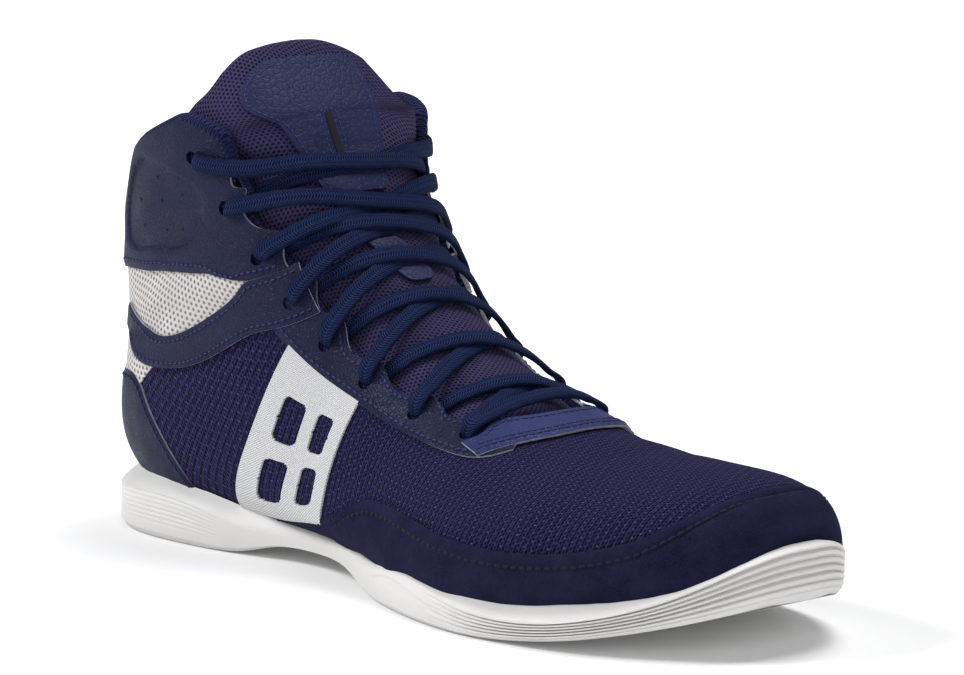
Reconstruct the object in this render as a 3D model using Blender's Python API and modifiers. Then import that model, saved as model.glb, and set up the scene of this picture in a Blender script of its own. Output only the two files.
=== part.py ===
"""High-top wrestling shoe, right foot, built as a maker puts it together around one last.

+X runs to the toe, -Y is the outer (lateral) side of the foot and +Z is up. The origin lies on the floor
under the middle of the sole. Every piece of the upper is worked out from skin(), the surface of the last:
u is the share of the way from the toe tip, over the instep, to the leg; v is the share of the half girth,
0 along the ridge of the foot, -1 (outer) and +1 (inner) along the middle of the bottom and of the heel.
"""

import bmesh
import bpy
import numpy as np

# Driving sizes
SHOE_LENGTH = 0.3015
BALL_WIDTH = 0.0985
INSTEP_HEIGHT = 0.085
SHAFT_HEIGHT = 0.151
SHAFT_WIDTH = 0.0875
SEAT_HEIGHT = 0.008

# The sole
SOLE_MARGIN = 0.0025
SOLE_WALL = 0.017
TOE_SPRING = 0.017
ARCH_RISE = 0.0055
RIB_DEPTH = 0.0007
RIB_COUNT = 5
RIBS_TOE_FROM = 0.72
RIBS_TOE_RUN = 0.15
RIBS_HEEL_FROM = 0.24
RIBS_HEEL_RUN = 0.08
RIBS_HEEL_SHARE = 0.45
SOLE_EDGE_ROUND = 0.0022
SOLE_EDGE_HEIGHT = 0.10
SOLE_EDGE_FULL = 0.6
SOLE_EDGE_FADE = 8
TOE_BREAK = 0.70
ARCH_MIDDLE = 0.395
ARCH_REACH = 0.105
LIP_INSET = 0.011
LIP_RISE = 0.003
GROOVE_WIDTH = 0.0022
GROOVE_DEPTH = 0.0010

# Thicknesses and clearances
UPPER_WALL = 0.0020
OVERLAY = 0.0010
SADDLE = 0.0008
INSOLE = 0.0035
TONGUE_LOW = 0.0030
TONGUE_PAD = 0.0070
TONGUE_DROP = 0.0012
FIT = 0.0003

# The lacing
EYELETS = 8
LACE_WIDTH = 0.0056
LACE_THICK = 0.0018
LACE_END_GAP = 0.0020
LACE_CLEAR = 0.0007
LACE_CUFF_CLEAR = 0.0015
LACE_ARCH = 0.0006
# How far the middle of each crossing hangs below the straight line between its eyelets, in u.
LACE_DIPS = (0.085, 0.041, 0.012, 0.0, 0.0, 0.0, 0.0)

# The last. x is a share of SHOE_LENGTH from the back of the sole, z_low of SEAT_HEIGHT, z_top of
# INSTEP_HEIGHT, and ridge (its sideways place) and the half widths of BALL_WIDTH. belly is the height share
# of the widest point, and round_low and round_top say how square the section is below and above it.
# x_low  z_low  x_top  z_top  ridge  outer  inner  belly  round_low  round_top
FOREPART = (
    (0.988, 3.00, 0.988, 0.282, 0.162, 0.0005, 0.0005, 0.45, 2.0, 2.0),
    (0.983, 2.30, 0.985, 0.400, 0.162, 0.142, 0.122, 0.40, 2.3, 2.1),
    (0.960, 1.80, 0.970, 0.518, 0.157, 0.284, 0.220, 0.38, 2.8, 2.3),
    (0.910, 1.44, 0.927, 0.588, 0.152, 0.406, 0.305, 0.36, 3.2, 2.4),
    (0.837, 1.00, 0.854, 0.606, 0.132, 0.508, 0.362, 0.34, 3.4, 2.3),
    (0.761, 0.75, 0.781, 0.618, 0.112, 0.568, 0.388, 0.31, 3.6, 2.2),
    (0.682, 0.63, 0.708, 0.647, 0.091, 0.589, 0.411, 0.28, 3.6, 2.1),
    (0.595, 0.69, 0.635, 0.718, 0.071, 0.548, 0.401, 0.25, 3.6, 2.1),
    (0.506, 1.00, 0.562, 0.841, 0.051, 0.477, 0.386, 0.24, 3.4, 2.1),
    (0.406, 1.19, 0.492, 1.000, 0.030, 0.426, 0.371, 0.26, 3.2, 2.3),
    (0.297, 1.12, 0.439, 1.153, 0.010, 0.406, 0.386, 0.32, 3.0, 2.6),
    (0.184, 1.00, 0.403, 1.282, 0.000, 0.416, 0.401, 0.42, 3.2, 3.0),
)
# The same columns for the heel and the shaft, with both heights as shares of SHAFT_HEIGHT and the widths of
# SHAFT_WIDTH. The last row is the leg above the collar, which only the tongue reaches.
SHAFT = (
    (0.091, 0.060, 0.376, 0.785, 0.0, 0.480, 0.469, 0.47, 3.2, 3.2),
    (0.022, 0.126, 0.357, 0.841, 0.0, 0.480, 0.480, 0.50, 2.9, 3.4),
    (0.007, 0.278, 0.340, 0.887, 0.0, 0.474, 0.497, 0.52, 2.5, 3.5),
    (0.012, 0.450, 0.327, 0.927, 0.0, 0.474, 0.514, 0.54, 2.4, 3.6),
    (0.017, 0.622, 0.315, 0.964, 0.0, 0.491, 0.531, 0.54, 2.4, 3.6),
    (0.045, 0.795, 0.304, 1.000, 0.0, 0.491, 0.537, 0.54, 2.3, 3.6),
    (0.081, 0.927, 0.257, 1.132, 0.0, 0.446, 0.480, 0.54, 2.3, 3.2),
)

# The sole seen from above, toe to heel. x is a share of SHOE_LENGTH, outer and inner are the two edges as
# shares of the sole's width, and wall is the height of its side as a share of SOLE_WALL.
# x     outer   inner  wall
SOLE_OUTLINE = (
    (1.000, 0.155, 0.155, 0.96),
    (0.997, 0.048, 0.232, 0.95),
    (0.985, -0.068, 0.312, 0.84),
    (0.960, -0.174, 0.388, 0.64),
    (0.917, -0.280, 0.462, 0.45),
    (0.861, -0.386, 0.500, 0.36),
    (0.788, -0.459, 0.510, 0.36),
    (0.715, -0.498, 0.504, 0.50),
    (0.642, -0.493, 0.478, 0.70),
    (0.569, -0.449, 0.415, 0.70),
    (0.489, -0.367, 0.330, 0.40),
    (0.406, -0.305, 0.285, 0.26),
    (0.323, -0.320, 0.295, 0.28),
    (0.240, -0.378, 0.345, 0.72),
    (0.164, -0.411, 0.391, 0.94),
    (0.104, -0.406, 0.396, 0.92),
    (0.058, -0.357, 0.348, 0.86),
    (0.025, -0.261, 0.242, 0.85),
    (0.007, -0.145, 0.116, 0.85),
    (0.000, 0.000, 0.000, 0.85),
)

# The lines that part the upper, as |v| along u. Between throat and stay lies the eyestay, between stay and
# panel the vamp or quarter, and between panel and low the rand, the side band and the heel counter. The
# upper is turned in under the foot as far as feather, and a 1 there means that it is closed.
# u     throat stay   panel  low    feather
LINES = (
    (0.000, 0.000, 0.000, 0.000, 0.780, 1.000),
    (0.090, 0.000, 0.000, 0.000, 0.780, 1.000),
    (0.100, 0.000, 0.060, 0.220, 0.785, 1.000),
    (0.112, 0.000, 0.120, 0.340, 0.790, 1.000),
    (0.128, 0.000, 0.150, 0.410, 0.795, 0.940),
    (0.160, 0.000, 0.165, 0.450, 0.800, 0.890),
    (0.205, 0.000, 0.170, 0.471, 0.800, 0.860),
    (0.260, 0.000, 0.175, 0.472, 0.805, 0.850),
    (0.312, 0.000, 0.190, 0.467, 0.810, 0.850),
    (0.330, 0.000, 0.245, 0.467, 0.810, 0.850),
    (0.346, 0.000, 0.275, 0.468, 0.810, 0.850),
    (0.353, 0.105, 0.283, 0.469, 0.810, 0.850),
    (0.367, 0.155, 0.292, 0.471, 0.810, 0.850),
    (0.392, 0.195, 0.306, 0.477, 0.810, 0.850),
    (0.430, 0.213, 0.324, 0.512, 0.810, 0.850),
    (0.460, 0.232, 0.335, 0.565, 0.810, 0.850),
    (0.480, 0.238, 0.341, 0.635, 0.810, 0.850),
    (0.512, 0.241, 0.348, 0.680, 0.815, 0.855),
    (0.551, 0.234, 0.354, 0.735, 0.822, 0.860),
    (0.590, 0.216, 0.351, 0.775, 0.835, 0.870),
    (0.620, 0.204, 0.335, 0.787, 0.845, 0.880),
    (0.645, 0.195, 0.318, 0.780, 0.853, 0.890),
    (0.668, 0.190, 0.310, 0.746, 0.864, 0.915),
    (0.690, 0.190, 0.315, 0.706, 0.880, 0.965),
    (0.705, 0.191, 0.318, 0.684, 0.898, 1.000),
    (0.716, 0.193, 0.322, 0.672, 0.940, 1.000),
    (0.724, 0.196, 0.325, 0.666, 1.000, 1.000),
    (0.740, 0.202, 0.330, 0.667, 1.000, 1.000),
    (0.765, 0.216, 0.340, 0.706, 1.000, 1.000),
    (0.785, 0.228, 0.348, 0.776, 1.000, 1.000),
    (0.800, 0.236, 0.354, 0.860, 1.000, 1.000),
    (0.812, 0.242, 0.358, 1.000, 1.000, 1.000),
    (0.848, 0.262, 0.372, 1.000, 1.000, 1.000),
    (0.903, 0.283, 0.390, 1.000, 1.000, 1.000),
    (0.960, 0.310, 0.410, 1.000, 1.000, 1.000),
)
# Cells between those lines on each side.
CELLS = (2, 6, 4, 1)
# Rows of the upper along u: those up to the cuff lie straight across, and the named ones end a panel.
NOSE_ROWS = (0.000, 0.013, 0.030, 0.050, 0.072, 0.090, 0.100, 0.112, 0.128, 0.160, 0.205, 0.260)
THROAT_PIECE_ROW = 0.312
THROAT_ROW = 0.346
INSTEP_ROWS = (0.353, 0.367, 0.392, 0.430, 0.460)
RAND_END_ROW = 0.480
SADDLE_ROWS = (0.500, 0.520, 0.542, 0.564, 0.586, 0.606)
COUNTER_ROW = 0.636
STAY_END_ROW = 0.652
# The lower edge of the cuff, u along |v|, and the collar line, u along |v|.
CUFF_V = (0.180, 0.225, 0.262, 0.296, 0.350, 0.438, 0.525, 0.655, 0.720, 0.840, 1.000)
CUFF_U = (0.664, 0.664, 0.682, 0.698, 0.736, 0.774, 0.808, 0.845, 0.860, 0.876, 0.884)
COLLAR_V = (0.270, 0.290, 0.320, 0.360, 0.420, 0.600, 0.800, 1.000)
COLLAR_U = (0.896, 0.915, 0.935, 0.950, 0.962, 0.962, 0.955, 0.950)

# Edges of the strap round the ankle as (u, v) pairs.
STRAP_TOP = ((0.658, -0.322), (0.676, -0.332), (0.691, -0.358), (0.713, -0.415), (0.733, -0.500),
             (0.771, -0.592), (0.812, -0.690))
STRAP_LOW = ((0.622, -0.352), (0.636, -0.358), (0.652, -0.372), (0.668, -0.395), (0.688, -0.450),
             (0.714, -0.540), (0.752, -0.632), (0.800, -0.705))
BADGE_LEFT = ((0.800, -0.130), (0.850, -0.165), (0.905, -0.205), (0.950, -0.225), (0.975, -0.190))
BADGE_RIGHT = ((0.800, 0.050), (0.850, 0.085), (0.905, 0.110), (0.950, 0.120), (0.975, 0.090))

# The tongue: its two edges as v along u, and how far it bulges towards the laces.
TONGUE_U = (0.330, 0.360, 0.420, 0.520, 0.620, 0.720, 0.800, 0.860, 0.910, 0.950, 0.980, 0.995)
TONGUE_OUT = (-0.130, -0.210, -0.265, -0.285, -0.255, -0.245, -0.275, -0.310, -0.350, -0.385, -0.345, -0.230)
TONGUE_IN = (0.130, 0.210, 0.265, 0.285, 0.255, 0.245, 0.270, 0.290, 0.290, 0.280, 0.230, 0.150)

# Where the tongue starts to thicken and where it is thickest.
TONGUE_PAD_U = (0.550, 0.750)
TONGUE_SWELL = 0.9
TONGUE_SWELL_U = (0.36, 0.41)
TONGUE_SWELL_CLEAR = 0.035
TONGUE_EDGE = 0.35
TONGUE_DROP_U = (0.37, 0.43)
TONGUE_TIP = (0.03, 0.45)

# The insole: half its width as a share of the half girth, along u.
INSOLE_U = (0.125, 0.160, 0.240, 0.600, 0.660, 0.684)
INSOLE_REACH = (0.045, 0.120, 0.185, 0.175, 0.130, 0.050)

# Tread grooves across the forefoot and the heel, as shares of the length.
FOREFOOT_GROOVES = (0.53, 0.80, 7)
HEEL_GROOVES = (0.08, 0.22, 4)

# Eyelets, from the top down, the same on both sides.
EYELET_U = (0.903, 0.790, 0.704, 0.634, 0.570, 0.504, 0.434, 0.370)
EYELET_V = (0.372, 0.287, 0.252, 0.268, 0.290, 0.296, 0.275, 0.236)

# Where the laces begin to lift off the eyestays and where they lie at their cuff clearance.
LACE_CLEAR_U = (0.66, 0.78)

NAVY = (0.035, 0.048, 0.115)
MIDNIGHT = (0.022, 0.022, 0.060)
VIOLET = (0.060, 0.050, 0.130)
LACE_BLUE = (0.030, 0.055, 0.160)
OFF_WHITE = (0.80, 0.79, 0.77)
WHITE = (0.85, 0.85, 0.84)


def clear_scene():
    for obj in list(bpy.data.objects):
        bpy.data.objects.remove(obj, do_unlink=True)


def collection(name, hidden=False):
    made = bpy.data.collections.new(name)
    bpy.context.scene.collection.children.link(made)
    made.hide_render = hidden
    return made


def material(name, colour, roughness, metallic=0.0):
    made = bpy.data.materials.new(name)
    made.use_nodes = True
    shader = made.node_tree.nodes["Principled BSDF"]
    shader.inputs["Base Color"].default_value = (*colour, 1)
    shader.inputs["Roughness"].default_value = roughness
    shader.inputs["Metallic"].default_value = metallic
    return made


def spline(knots, values, at):
    """A natural cubic spline through rows of values."""
    knots = np.asarray(knots, float)
    values = np.asarray(values, float)
    at = np.asarray(at, float)
    step = np.diff(knots)
    slope = np.diff(values, axis=0) / step[:, None]
    system = np.eye(len(knots))
    right = np.zeros_like(values)
    for i in range(1, len(knots) - 1):
        system[i, i - 1:i + 2] = step[i - 1], 2 * (step[i - 1] + step[i]), step[i]
        right[i] = 6 * (slope[i] - slope[i - 1])
    bend = np.linalg.solve(system, right)
    k = np.clip(np.searchsorted(knots, at) - 1, 0, len(step) - 1)
    t = (at - knots[k])[:, None]
    h = step[k][:, None]
    first = slope[k] - h * (2 * bend[k] + bend[k + 1]) / 6
    return values[k] + t * (first + t * (bend[k] / 2 + t * (bend[k + 1] - bend[k]) / (6 * h)))


def last_rows():
    """Both tables in metres: x and z of the low and top ends, ridge, half widths and the three shape numbers."""
    rows = []
    for table, low, top, width in (
        (FOREPART, SEAT_HEIGHT, INSTEP_HEIGHT, BALL_WIDTH),
        (SHAFT, SHAFT_HEIGHT, SHAFT_HEIGHT, SHAFT_WIDTH),
    ):
        for x_low, z_low, x_top, z_top, ridge, outer, inner, belly, round_low, round_top in table:
            rows.append((
                (x_low - 0.5) * SHOE_LENGTH, z_low * low,
                (x_top - 0.5) * SHOE_LENGTH, z_top * top,
                ridge * BALL_WIDTH, outer * width, inner * width,
                belly, round_low, round_top,
            ))
    return np.array(rows)


def row_places(rows):
    """u of each row: how far the middle, the width and the height of the section have moved since the toe."""
    middle = (rows[:, 0:2] + rows[:, 2:4]) / 2
    moved = np.hypot(*np.diff(middle, axis=0).T)
    moved += 0.35 * np.abs(np.diff(rows[:, 5])) + 0.35 * np.abs(np.diff(rows[:, 3] - rows[:, 1]))
    places = np.concatenate([[0], np.cumsum(moved)])
    return places / places[-1]


def half_section(row, side, count=49):
    """One side of a section from the ridge to the bottom, evenly spaced along the girth."""
    x_low, z_low, x_top, z_top, ridge, outer, inner, belly, round_low, round_top = row
    turn = np.linspace(-np.pi / 2, np.pi / 2, 97)
    above = turn < 0
    power = np.where(above, round_top, round_low)
    out = np.abs(np.cos(turn)) ** (2 / power) * max(outer if side < 0 else inner, 1e-5)
    rise = np.abs(np.sin(turn)) ** (2 / power)
    height = np.where(above, belly + (1 - belly) * rise, belly * (1 - rise))
    line = np.stack([
        x_low + (x_top - x_low) * height,
        ridge + side * out,
        z_low + (z_top - z_low) * height,
    ], axis=-1)
    along = np.concatenate([[0], np.cumsum(np.linalg.norm(np.diff(line, axis=0), axis=1))])
    even = np.linspace(0, along[-1], count)
    return np.stack([np.interp(even, along, line[:, k]) for k in range(3)], axis=-1)


def make_skin(steps=201):
    """The last as a fine grid of points and of outward normals."""
    rows = last_rows()
    sections = spline(row_places(rows), rows, np.linspace(0, 1, steps))
    points = np.array([
        np.concatenate([half_section(row, -1)[::-1], half_section(row, 1)[1:]]) for row in sections
    ])
    points[0] = points[0].mean(axis=0)
    along = np.gradient(points, axis=0)
    across = np.gradient(points, axis=1)
    across[:, 0] = across[:, -1] = points[:, 1] - points[:, -2]
    normals = np.cross(across, along)
    normals[0] = (1, 0, 0)
    normals /= np.linalg.norm(normals, axis=-1)[..., None] + 1e-12
    seam = normals[:, 0] + normals[:, -1]
    normals[:, 0] = normals[:, -1] = seam / np.linalg.norm(seam, axis=-1)[:, None]
    if (normals * (points - points.mean(axis=(0, 1)))).sum() < 0:
        normals[1:] *= -1
    return points, normals


SKIN_POINTS, SKIN_NORMALS = make_skin()


def skin(u, v, lift=0.0):
    """Points of the last's surface at u and v, moved out along its normals. v runs on past the heel seam."""
    u, v, lift = np.broadcast_arrays(np.asarray(u, float), np.asarray(v, float), np.asarray(lift, float))
    rows, columns = SKIN_POINTS.shape[:2]
    v = np.where(v < -1, v + 2, np.where(v > 1, v - 2, v))
    i = np.clip(u, 0, 1) * (rows - 1)
    j = (v + 1) / 2 * (columns - 1)
    i0 = np.minimum(i.astype(int), rows - 2)
    j0 = np.minimum(j.astype(int), columns - 2)
    a = (i - i0)[..., None]
    b = (j - j0)[..., None]

    def blend(grid):
        near = grid[i0, j0] * (1 - b) + grid[i0, j0 + 1] * b
        far = grid[i0 + 1, j0] * (1 - b) + grid[i0 + 1, j0 + 1] * b
        return near * (1 - a) + far * a

    normal = blend(SKIN_NORMALS)
    normal /= np.linalg.norm(normal, axis=-1)[..., None]
    return blend(SKIN_POINTS) + normal * lift[..., None]


def grid_faces(rows, columns, skip=()):
    return [
        (i * columns + j, i * columns + j + 1, (i + 1) * columns + j + 1, (i + 1) * columns + j)
        for i in range(rows - 1) for j in range(columns - 1) if (i, j) not in skip
    ]


def split(points, out, faces):
    """Four-sided faces as triangles, each folded along the diagonal that lies further out."""
    points = points.reshape(-1, 3)
    out = out.reshape(-1, 3)
    parts = []
    for a, b, c, d in faces:
        first = points[a] + points[c] - points[b] - points[d]
        if np.dot(first, out[a] + out[b] + out[c] + out[d]) > 0:
            parts += [(a, b, c), (a, c, d)]
        else:
            parts += [(a, b, d), (b, c, d)]
    return parts


def mesh_object(name, points, faces, look, group, outward=True):
    """An object from points and faces, its doubled points merged and its faces turned out."""
    mesh = bpy.data.meshes.new(name)
    mesh.from_pydata([tuple(p) for p in np.asarray(points).reshape(-1, 3)], [], faces)
    work = bmesh.new()
    work.from_mesh(mesh)
    bmesh.ops.remove_doubles(work, verts=work.verts, dist=1e-5)
    bmesh.ops.dissolve_degenerate(work, edges=work.edges, dist=1e-6)
    if outward:
        bmesh.ops.recalc_face_normals(work, faces=work.faces)
    work.to_mesh(mesh)
    work.free()
    mesh.shade_smooth()
    mesh.set_sharp_from_angle(angle=np.radians(40))
    made = bpy.data.objects.new(name, mesh)
    if look:
        mesh.materials.append(look)
    group.objects.link(made)
    return made


def solidify(obj, thickness, offset):
    modifier = obj.modifiers.new("Wall", "SOLIDIFY")
    modifier.thickness = thickness
    modifier.offset = offset
    modifier.use_even_offset = True
    return modifier


def weld(obj):
    modifier = obj.modifiers.new("Weld", "WELD")
    modifier.merge_threshold = 0.00003


def resample(edge, count):
    """Points at even steps along a smooth (u, v) edge."""
    edge = np.asarray(edge, float)
    return spline(np.linspace(0, 1, len(edge)), edge, np.linspace(0, 1, count))


def mirrored(edge):
    return [(u, -v) for u, v in edge]


def face_out(obj):
    """Turns an open panel so that its faces look away from the last."""
    mesh = obj.data
    flat = SKIN_POINTS.reshape(-1, 3)
    total = 0.0
    for face in list(mesh.polygons)[::3]:
        near = np.argmin(((flat - np.array(face.center)) ** 2).sum(axis=1))
        total += np.dot(SKIN_NORMALS.reshape(-1, 3)[near], np.array(face.normal))
    if total < 0:
        mesh.flip_normals()


LINE_NAMES = ("throat", "stay", "panel", "low", "feather")


def line(u, name):
    """|v| of one of the upper's lines at u."""
    table = np.array(LINES)
    return np.interp(u, table[:, 0], table[:, 1 + LINE_NAMES.index(name)])


def across(u, column):
    """|v| at u of a column of the upper's grid, counted from the throat."""
    done = 0
    for cells, near, far in zip(CELLS, LINE_NAMES, LINE_NAMES[1:]):
        if column <= done + cells:
            share = (column - done) / cells
            return line(u, near) * (1 - share) + line(u, far) * share
        done += cells
    return line(u, LINE_NAMES[-1])


def settled(edge_v, edge_u, column):
    """Where a column meets an edge that is given as u along |v|."""
    u = 0.8
    for _ in range(40):
        u += 0.5 * (np.interp(across(u, column), edge_v, edge_u) - u)
    return u


STRAIGHT_ROWS = (*NOSE_ROWS, THROAT_PIECE_ROW, 0.330, THROAT_ROW, *INSTEP_ROWS, RAND_END_ROW, *SADDLE_ROWS,
                 COUNTER_ROW, STAY_END_ROW)
ANKLE_ROWS = 7
CUFF_ROWS = 4
CUFF_START = len(STRAIGHT_ROWS) - 1 + ANKLE_ROWS
# Columns of the grid: 0 is the outer feather, SIDE the outer edge of the throat, SIDE + 1 the inner edge of
# the throat and LAST the inner feather.
SIDE = sum(CELLS)
LAST = 2 * SIDE + 1
LOW_COLUMN = CELLS[3]
PANEL_COLUMN = LOW_COLUMN + CELLS[2]
STAY_COLUMN = PANEL_COLUMN + CELLS[1]


def upper_grid():
    """u and v of the whole upper, rows from the toe to the collar."""
    columns = range(SIDE + 1)
    cuff = np.array([settled(CUFF_V, CUFF_U, c) for c in columns])
    collar = np.array([settled(COLLAR_V, COLLAR_U, c) for c in columns])
    rows = [0 * cuff + u for u in STRAIGHT_ROWS]
    rows += [STAY_END_ROW * (1 - k) + cuff * k for k in np.linspace(0, 1, ANKLE_ROWS + 1)[1:]]
    rows += [cuff * (1 - k) + collar * k for k in np.linspace(0, 1, CUFF_ROWS + 1)[1:]]
    u = np.array(rows)
    v = np.array([[across(row[c], c) for c in columns] for row in u])
    return np.concatenate([u[:, ::-1], u], axis=1), np.concatenate([-v[:, ::-1], v], axis=1)


GRID_U, GRID_V = upper_grid()


def outer_columns(start, stop):
    return list(range(start, stop + 1))


def inner_columns(start, stop):
    return [LAST - c for c in range(stop, start - 1, -1)]


def patch(name, rows, columns, look, group, thickness, lift=FIT, trim=(0, 0, 0, 0), skip=()):
    """A piece made of cells of the upper's own grid. trim draws in its first and last row and column."""
    first, last = rows
    u = GRID_U[first:last + 1][:, columns]
    v = GRID_V[first:last + 1][:, columns]
    points = skin(u, v, lift)
    for drawn, edge, near in ((trim[0], np.s_[0], np.s_[1]), (trim[1], np.s_[-1], np.s_[-2]),
                              (trim[2], np.s_[:, 0], np.s_[:, 1]), (trim[3], np.s_[:, -1], np.s_[:, -2])):
        if drawn:
            step = points[near] - points[edge]
            points[edge] += step * (drawn / np.maximum(np.linalg.norm(step, axis=-1), 4 * drawn))[..., None]
    width = len(columns)
    faces = [
        (i * width + j, i * width + j + 1, (i + 1) * width + j + 1, (i + 1) * width + j)
        for i in range(last - first) for j in range(width - 1)
        if (i, j) not in skip and columns[j + 1] == columns[j] + 1 and columns[j] != SIDE
    ]
    faces = split(points, skin(u, v, lift + 0.001) - skin(u, v, lift), faces)
    made = mesh_object(name, points, faces, look, group, outward=False)
    face_out(made)
    solidify(made, thickness, 1)
    return made


def upper(look, group):
    """The whole upper as one wall, open at the collar, the throat and underneath."""
    made = patch("upper", (0, len(GRID_U) - 1), outer_columns(0, LAST), look, group, UPPER_WALL, lift=0)
    made.modifiers["Wall"].offset = -1
    return made


def ruled(name, top, low, look, group, thickness, along, rows, lift):
    """A panel between two edges of its own, laid over the grid."""
    top = resample(top, along)
    low = resample(low, along)
    share = np.linspace(0, 1, rows)[None, :, None]
    place = top[:, None] * (1 - share) + low[:, None] * share
    points = skin(place[..., 0], place[..., 1], lift)
    faces = split(points, skin(place[..., 0], place[..., 1], lift + 0.001) - points, grid_faces(along, rows))
    made = mesh_object(name, points, faces, look, group, outward=False)
    face_out(made)
    solidify(made, thickness, 1)
    return made


def overlays(group):
    """The panels that lie on the outside of the upper."""
    napped = material("napped toe rand", MIDNIGHT, 0.95)
    grained = material("grained synthetic", NAVY, 0.55)
    white = material("white film", WHITE, 0.45)
    rand = STRAIGHT_ROWS.index(RAND_END_ROW)
    counter = STRAIGHT_ROWS.index(COUNTER_ROW)
    stay = STRAIGHT_ROWS.index(STAY_END_ROW)
    throat = STRAIGHT_ROWS.index(THROAT_ROW)
    wall = (LOW_COLUMN, PANEL_COLUMN)
    ends = (FIT, FIT, 0, 0)
    patch("toe_rand", (0, rand), outer_columns(*wall) + inner_columns(*wall), napped, group, OVERLAY,
          trim=(0, FIT, 0, 0))
    patch("heel_counter", (counter, stay + 6), inner_columns(*wall) + outer_columns(*wall), grained, group,
          OVERLAY, trim=(FIT, 0, 0, 0))
    patch("throat_piece", (STRAIGHT_ROWS.index(THROAT_PIECE_ROW), throat),
          outer_columns(STAY_COLUMN, SIDE) + inner_columns(STAY_COLUMN, SIDE), grained, group, OVERLAY,
          trim=(0, FIT, 0, 0))
    patch("cuff", (CUFF_START, len(GRID_U) - 1), inner_columns(0, SIDE) + outer_columns(0, SIDE), grained,
          group, OVERLAY)
    for side, columns in (("outer", outer_columns), ("inner", inner_columns)):
        patch(f"side_band_{side}", (rand, counter), columns(*wall), napped, group, OVERLAY, trim=ends)
        patch(f"eyestay_{side}", (throat, stay), columns(STAY_COLUMN, SIDE), grained, group, OVERLAY, trim=ends)
        turn = list if side == "outer" else mirrored
        ruled(f"ankle_strap_{side}", turn(STRAP_TOP), turn(STRAP_LOW), grained, group, OVERLAY, 13, 3, 2 * FIT)
    saddle = STRAIGHT_ROWS.index(SADDLE_ROWS[0]), STRAIGHT_ROWS.index(SADDLE_ROWS[-1])
    windows = {(i, j) for i in (1, 3) for j in (1, 3)}
    patch("saddle_outer", saddle, outer_columns(PANEL_COLUMN, STAY_COLUMN), white, group, SADDLE,
          trim=(0, 0, FIT, FIT), skip=windows)


def closed_sheet(name, u, v, outer_lift, inner_lift, look, group):
    """A closed solid between two lifts of the same patch of the last."""
    rows, columns = u.shape
    outer = skin(u, v, outer_lift).reshape(-1, 3)
    inner = skin(u, v, inner_lift).reshape(-1, 3)
    count = rows * columns
    faces = grid_faces(rows, columns)
    faces += [tuple(count + k for k in face[::-1]) for face in grid_faces(rows, columns)]
    ring = [j for j in range(columns)]
    ring += [i * columns + columns - 1 for i in range(1, rows)]
    ring += [(rows - 1) * columns + j for j in range(columns - 2, -1, -1)]
    ring += [i * columns for i in range(rows - 2, 0, -1)]
    faces += [(a, count + a, count + b, b) for a, b in zip(ring, ring[1:] + ring[:1])]
    return mesh_object(name, np.concatenate([outer, inner]), faces, look, group)


def tongue(group):
    """The padded tongue: under the eyestays, swelling up between them, and free above the collar."""
    look = material("tongue mesh", VIOLET, 0.9)
    u = np.linspace(TONGUE_U[0], TONGUE_U[-1], 18)
    out = spline(TONGUE_U, np.array([TONGUE_OUT]).T, u)[:, 0]
    inn = spline(TONGUE_U, np.array([TONGUE_IN]).T, u)[:, 0]
    share = np.linspace(0, 1, 9)
    v = out[:, None] * (1 - share) + inn[:, None] * share
    u = u[:, None] + 0 * share
    under = -(UPPER_WALL + 2 * FIT) - np.interp(u, TONGUE_DROP_U, (TONGUE_DROP, 0))
    reach = np.maximum(line(u, "throat") - TONGUE_SWELL_CLEAR, 0.02)
    swell = np.clip(1 - (np.abs(v) / reach) ** 2, 0, 1) ** 0.6
    pad = np.interp(u, TONGUE_PAD_U, (TONGUE_LOW, TONGUE_PAD))
    edge = TONGUE_EDGE + (1 - TONGUE_EDGE) * np.sin(np.pi * np.clip(share, 0.02, 0.98)) ** 0.5
    outer = under + swell * UPPER_WALL * np.interp(u, TONGUE_SWELL_U, (0, TONGUE_SWELL))
    inner = under - pad * edge
    tip = np.clip((1.0 - u) / TONGUE_TIP[0], TONGUE_TIP[1], 1)
    middle = (outer + inner) / 2
    return closed_sheet("tongue", u, v, middle + (outer - middle) * tip, middle + (inner - middle) * tip,
                        look, group)


def badge(group):
    """The plain patch near the top of the tongue."""
    look = material("tongue badge", NAVY, 0.5)
    left = resample(BADGE_LEFT, 6)
    right = resample(BADGE_RIGHT, 6)
    share = np.linspace(0, 1, 5)[None, :, None]
    place = left[:, None] * (1 - share) + right[:, None] * share
    lift = -(UPPER_WALL + 2 * FIT) + UPPER_WALL * TONGUE_SWELL + FIT
    made = mesh_object("tongue_badge", skin(place[..., 0], place[..., 1], lift), grid_faces(6, 5), look, group,
                       outward=False)
    face_out(made)
    solidify(made, OVERLAY, 1)


def insole(group):
    """The footbed: it fills the opening under the foot and lies on the turned-in edge of the upper."""
    look = material("insole foam", MIDNIGHT, 0.95)
    u = np.linspace(INSOLE_U[0], INSOLE_U[-1], 13)
    reach = np.interp(u, INSOLE_U, INSOLE_REACH)
    share = np.linspace(-1, 1, 7)
    v = 1 - reach[:, None] * share
    u = u[:, None] + 0 * share
    inside = np.minimum(v, 2 - v)
    opening = np.clip((inside - line(u, "feather") - 0.02) / 0.02, 0, 1)
    seat = UPPER_WALL + 2 * FIT
    low = opening * UPPER_WALL - seat
    return closed_sheet("insole", u, v, low, 0 * low - seat - INSOLE, look, group)


def floor_height(x):
    """How far the bottom of the sole is off the floor, along the share x of the length."""
    toe = np.clip((x - TOE_BREAK) / (1 - TOE_BREAK), 0, 1) ** 2 * TOE_SPRING
    arch = np.exp(-((x - ARCH_MIDDLE) / ARCH_REACH) ** 4) * ARCH_RISE
    return toe + arch


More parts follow.
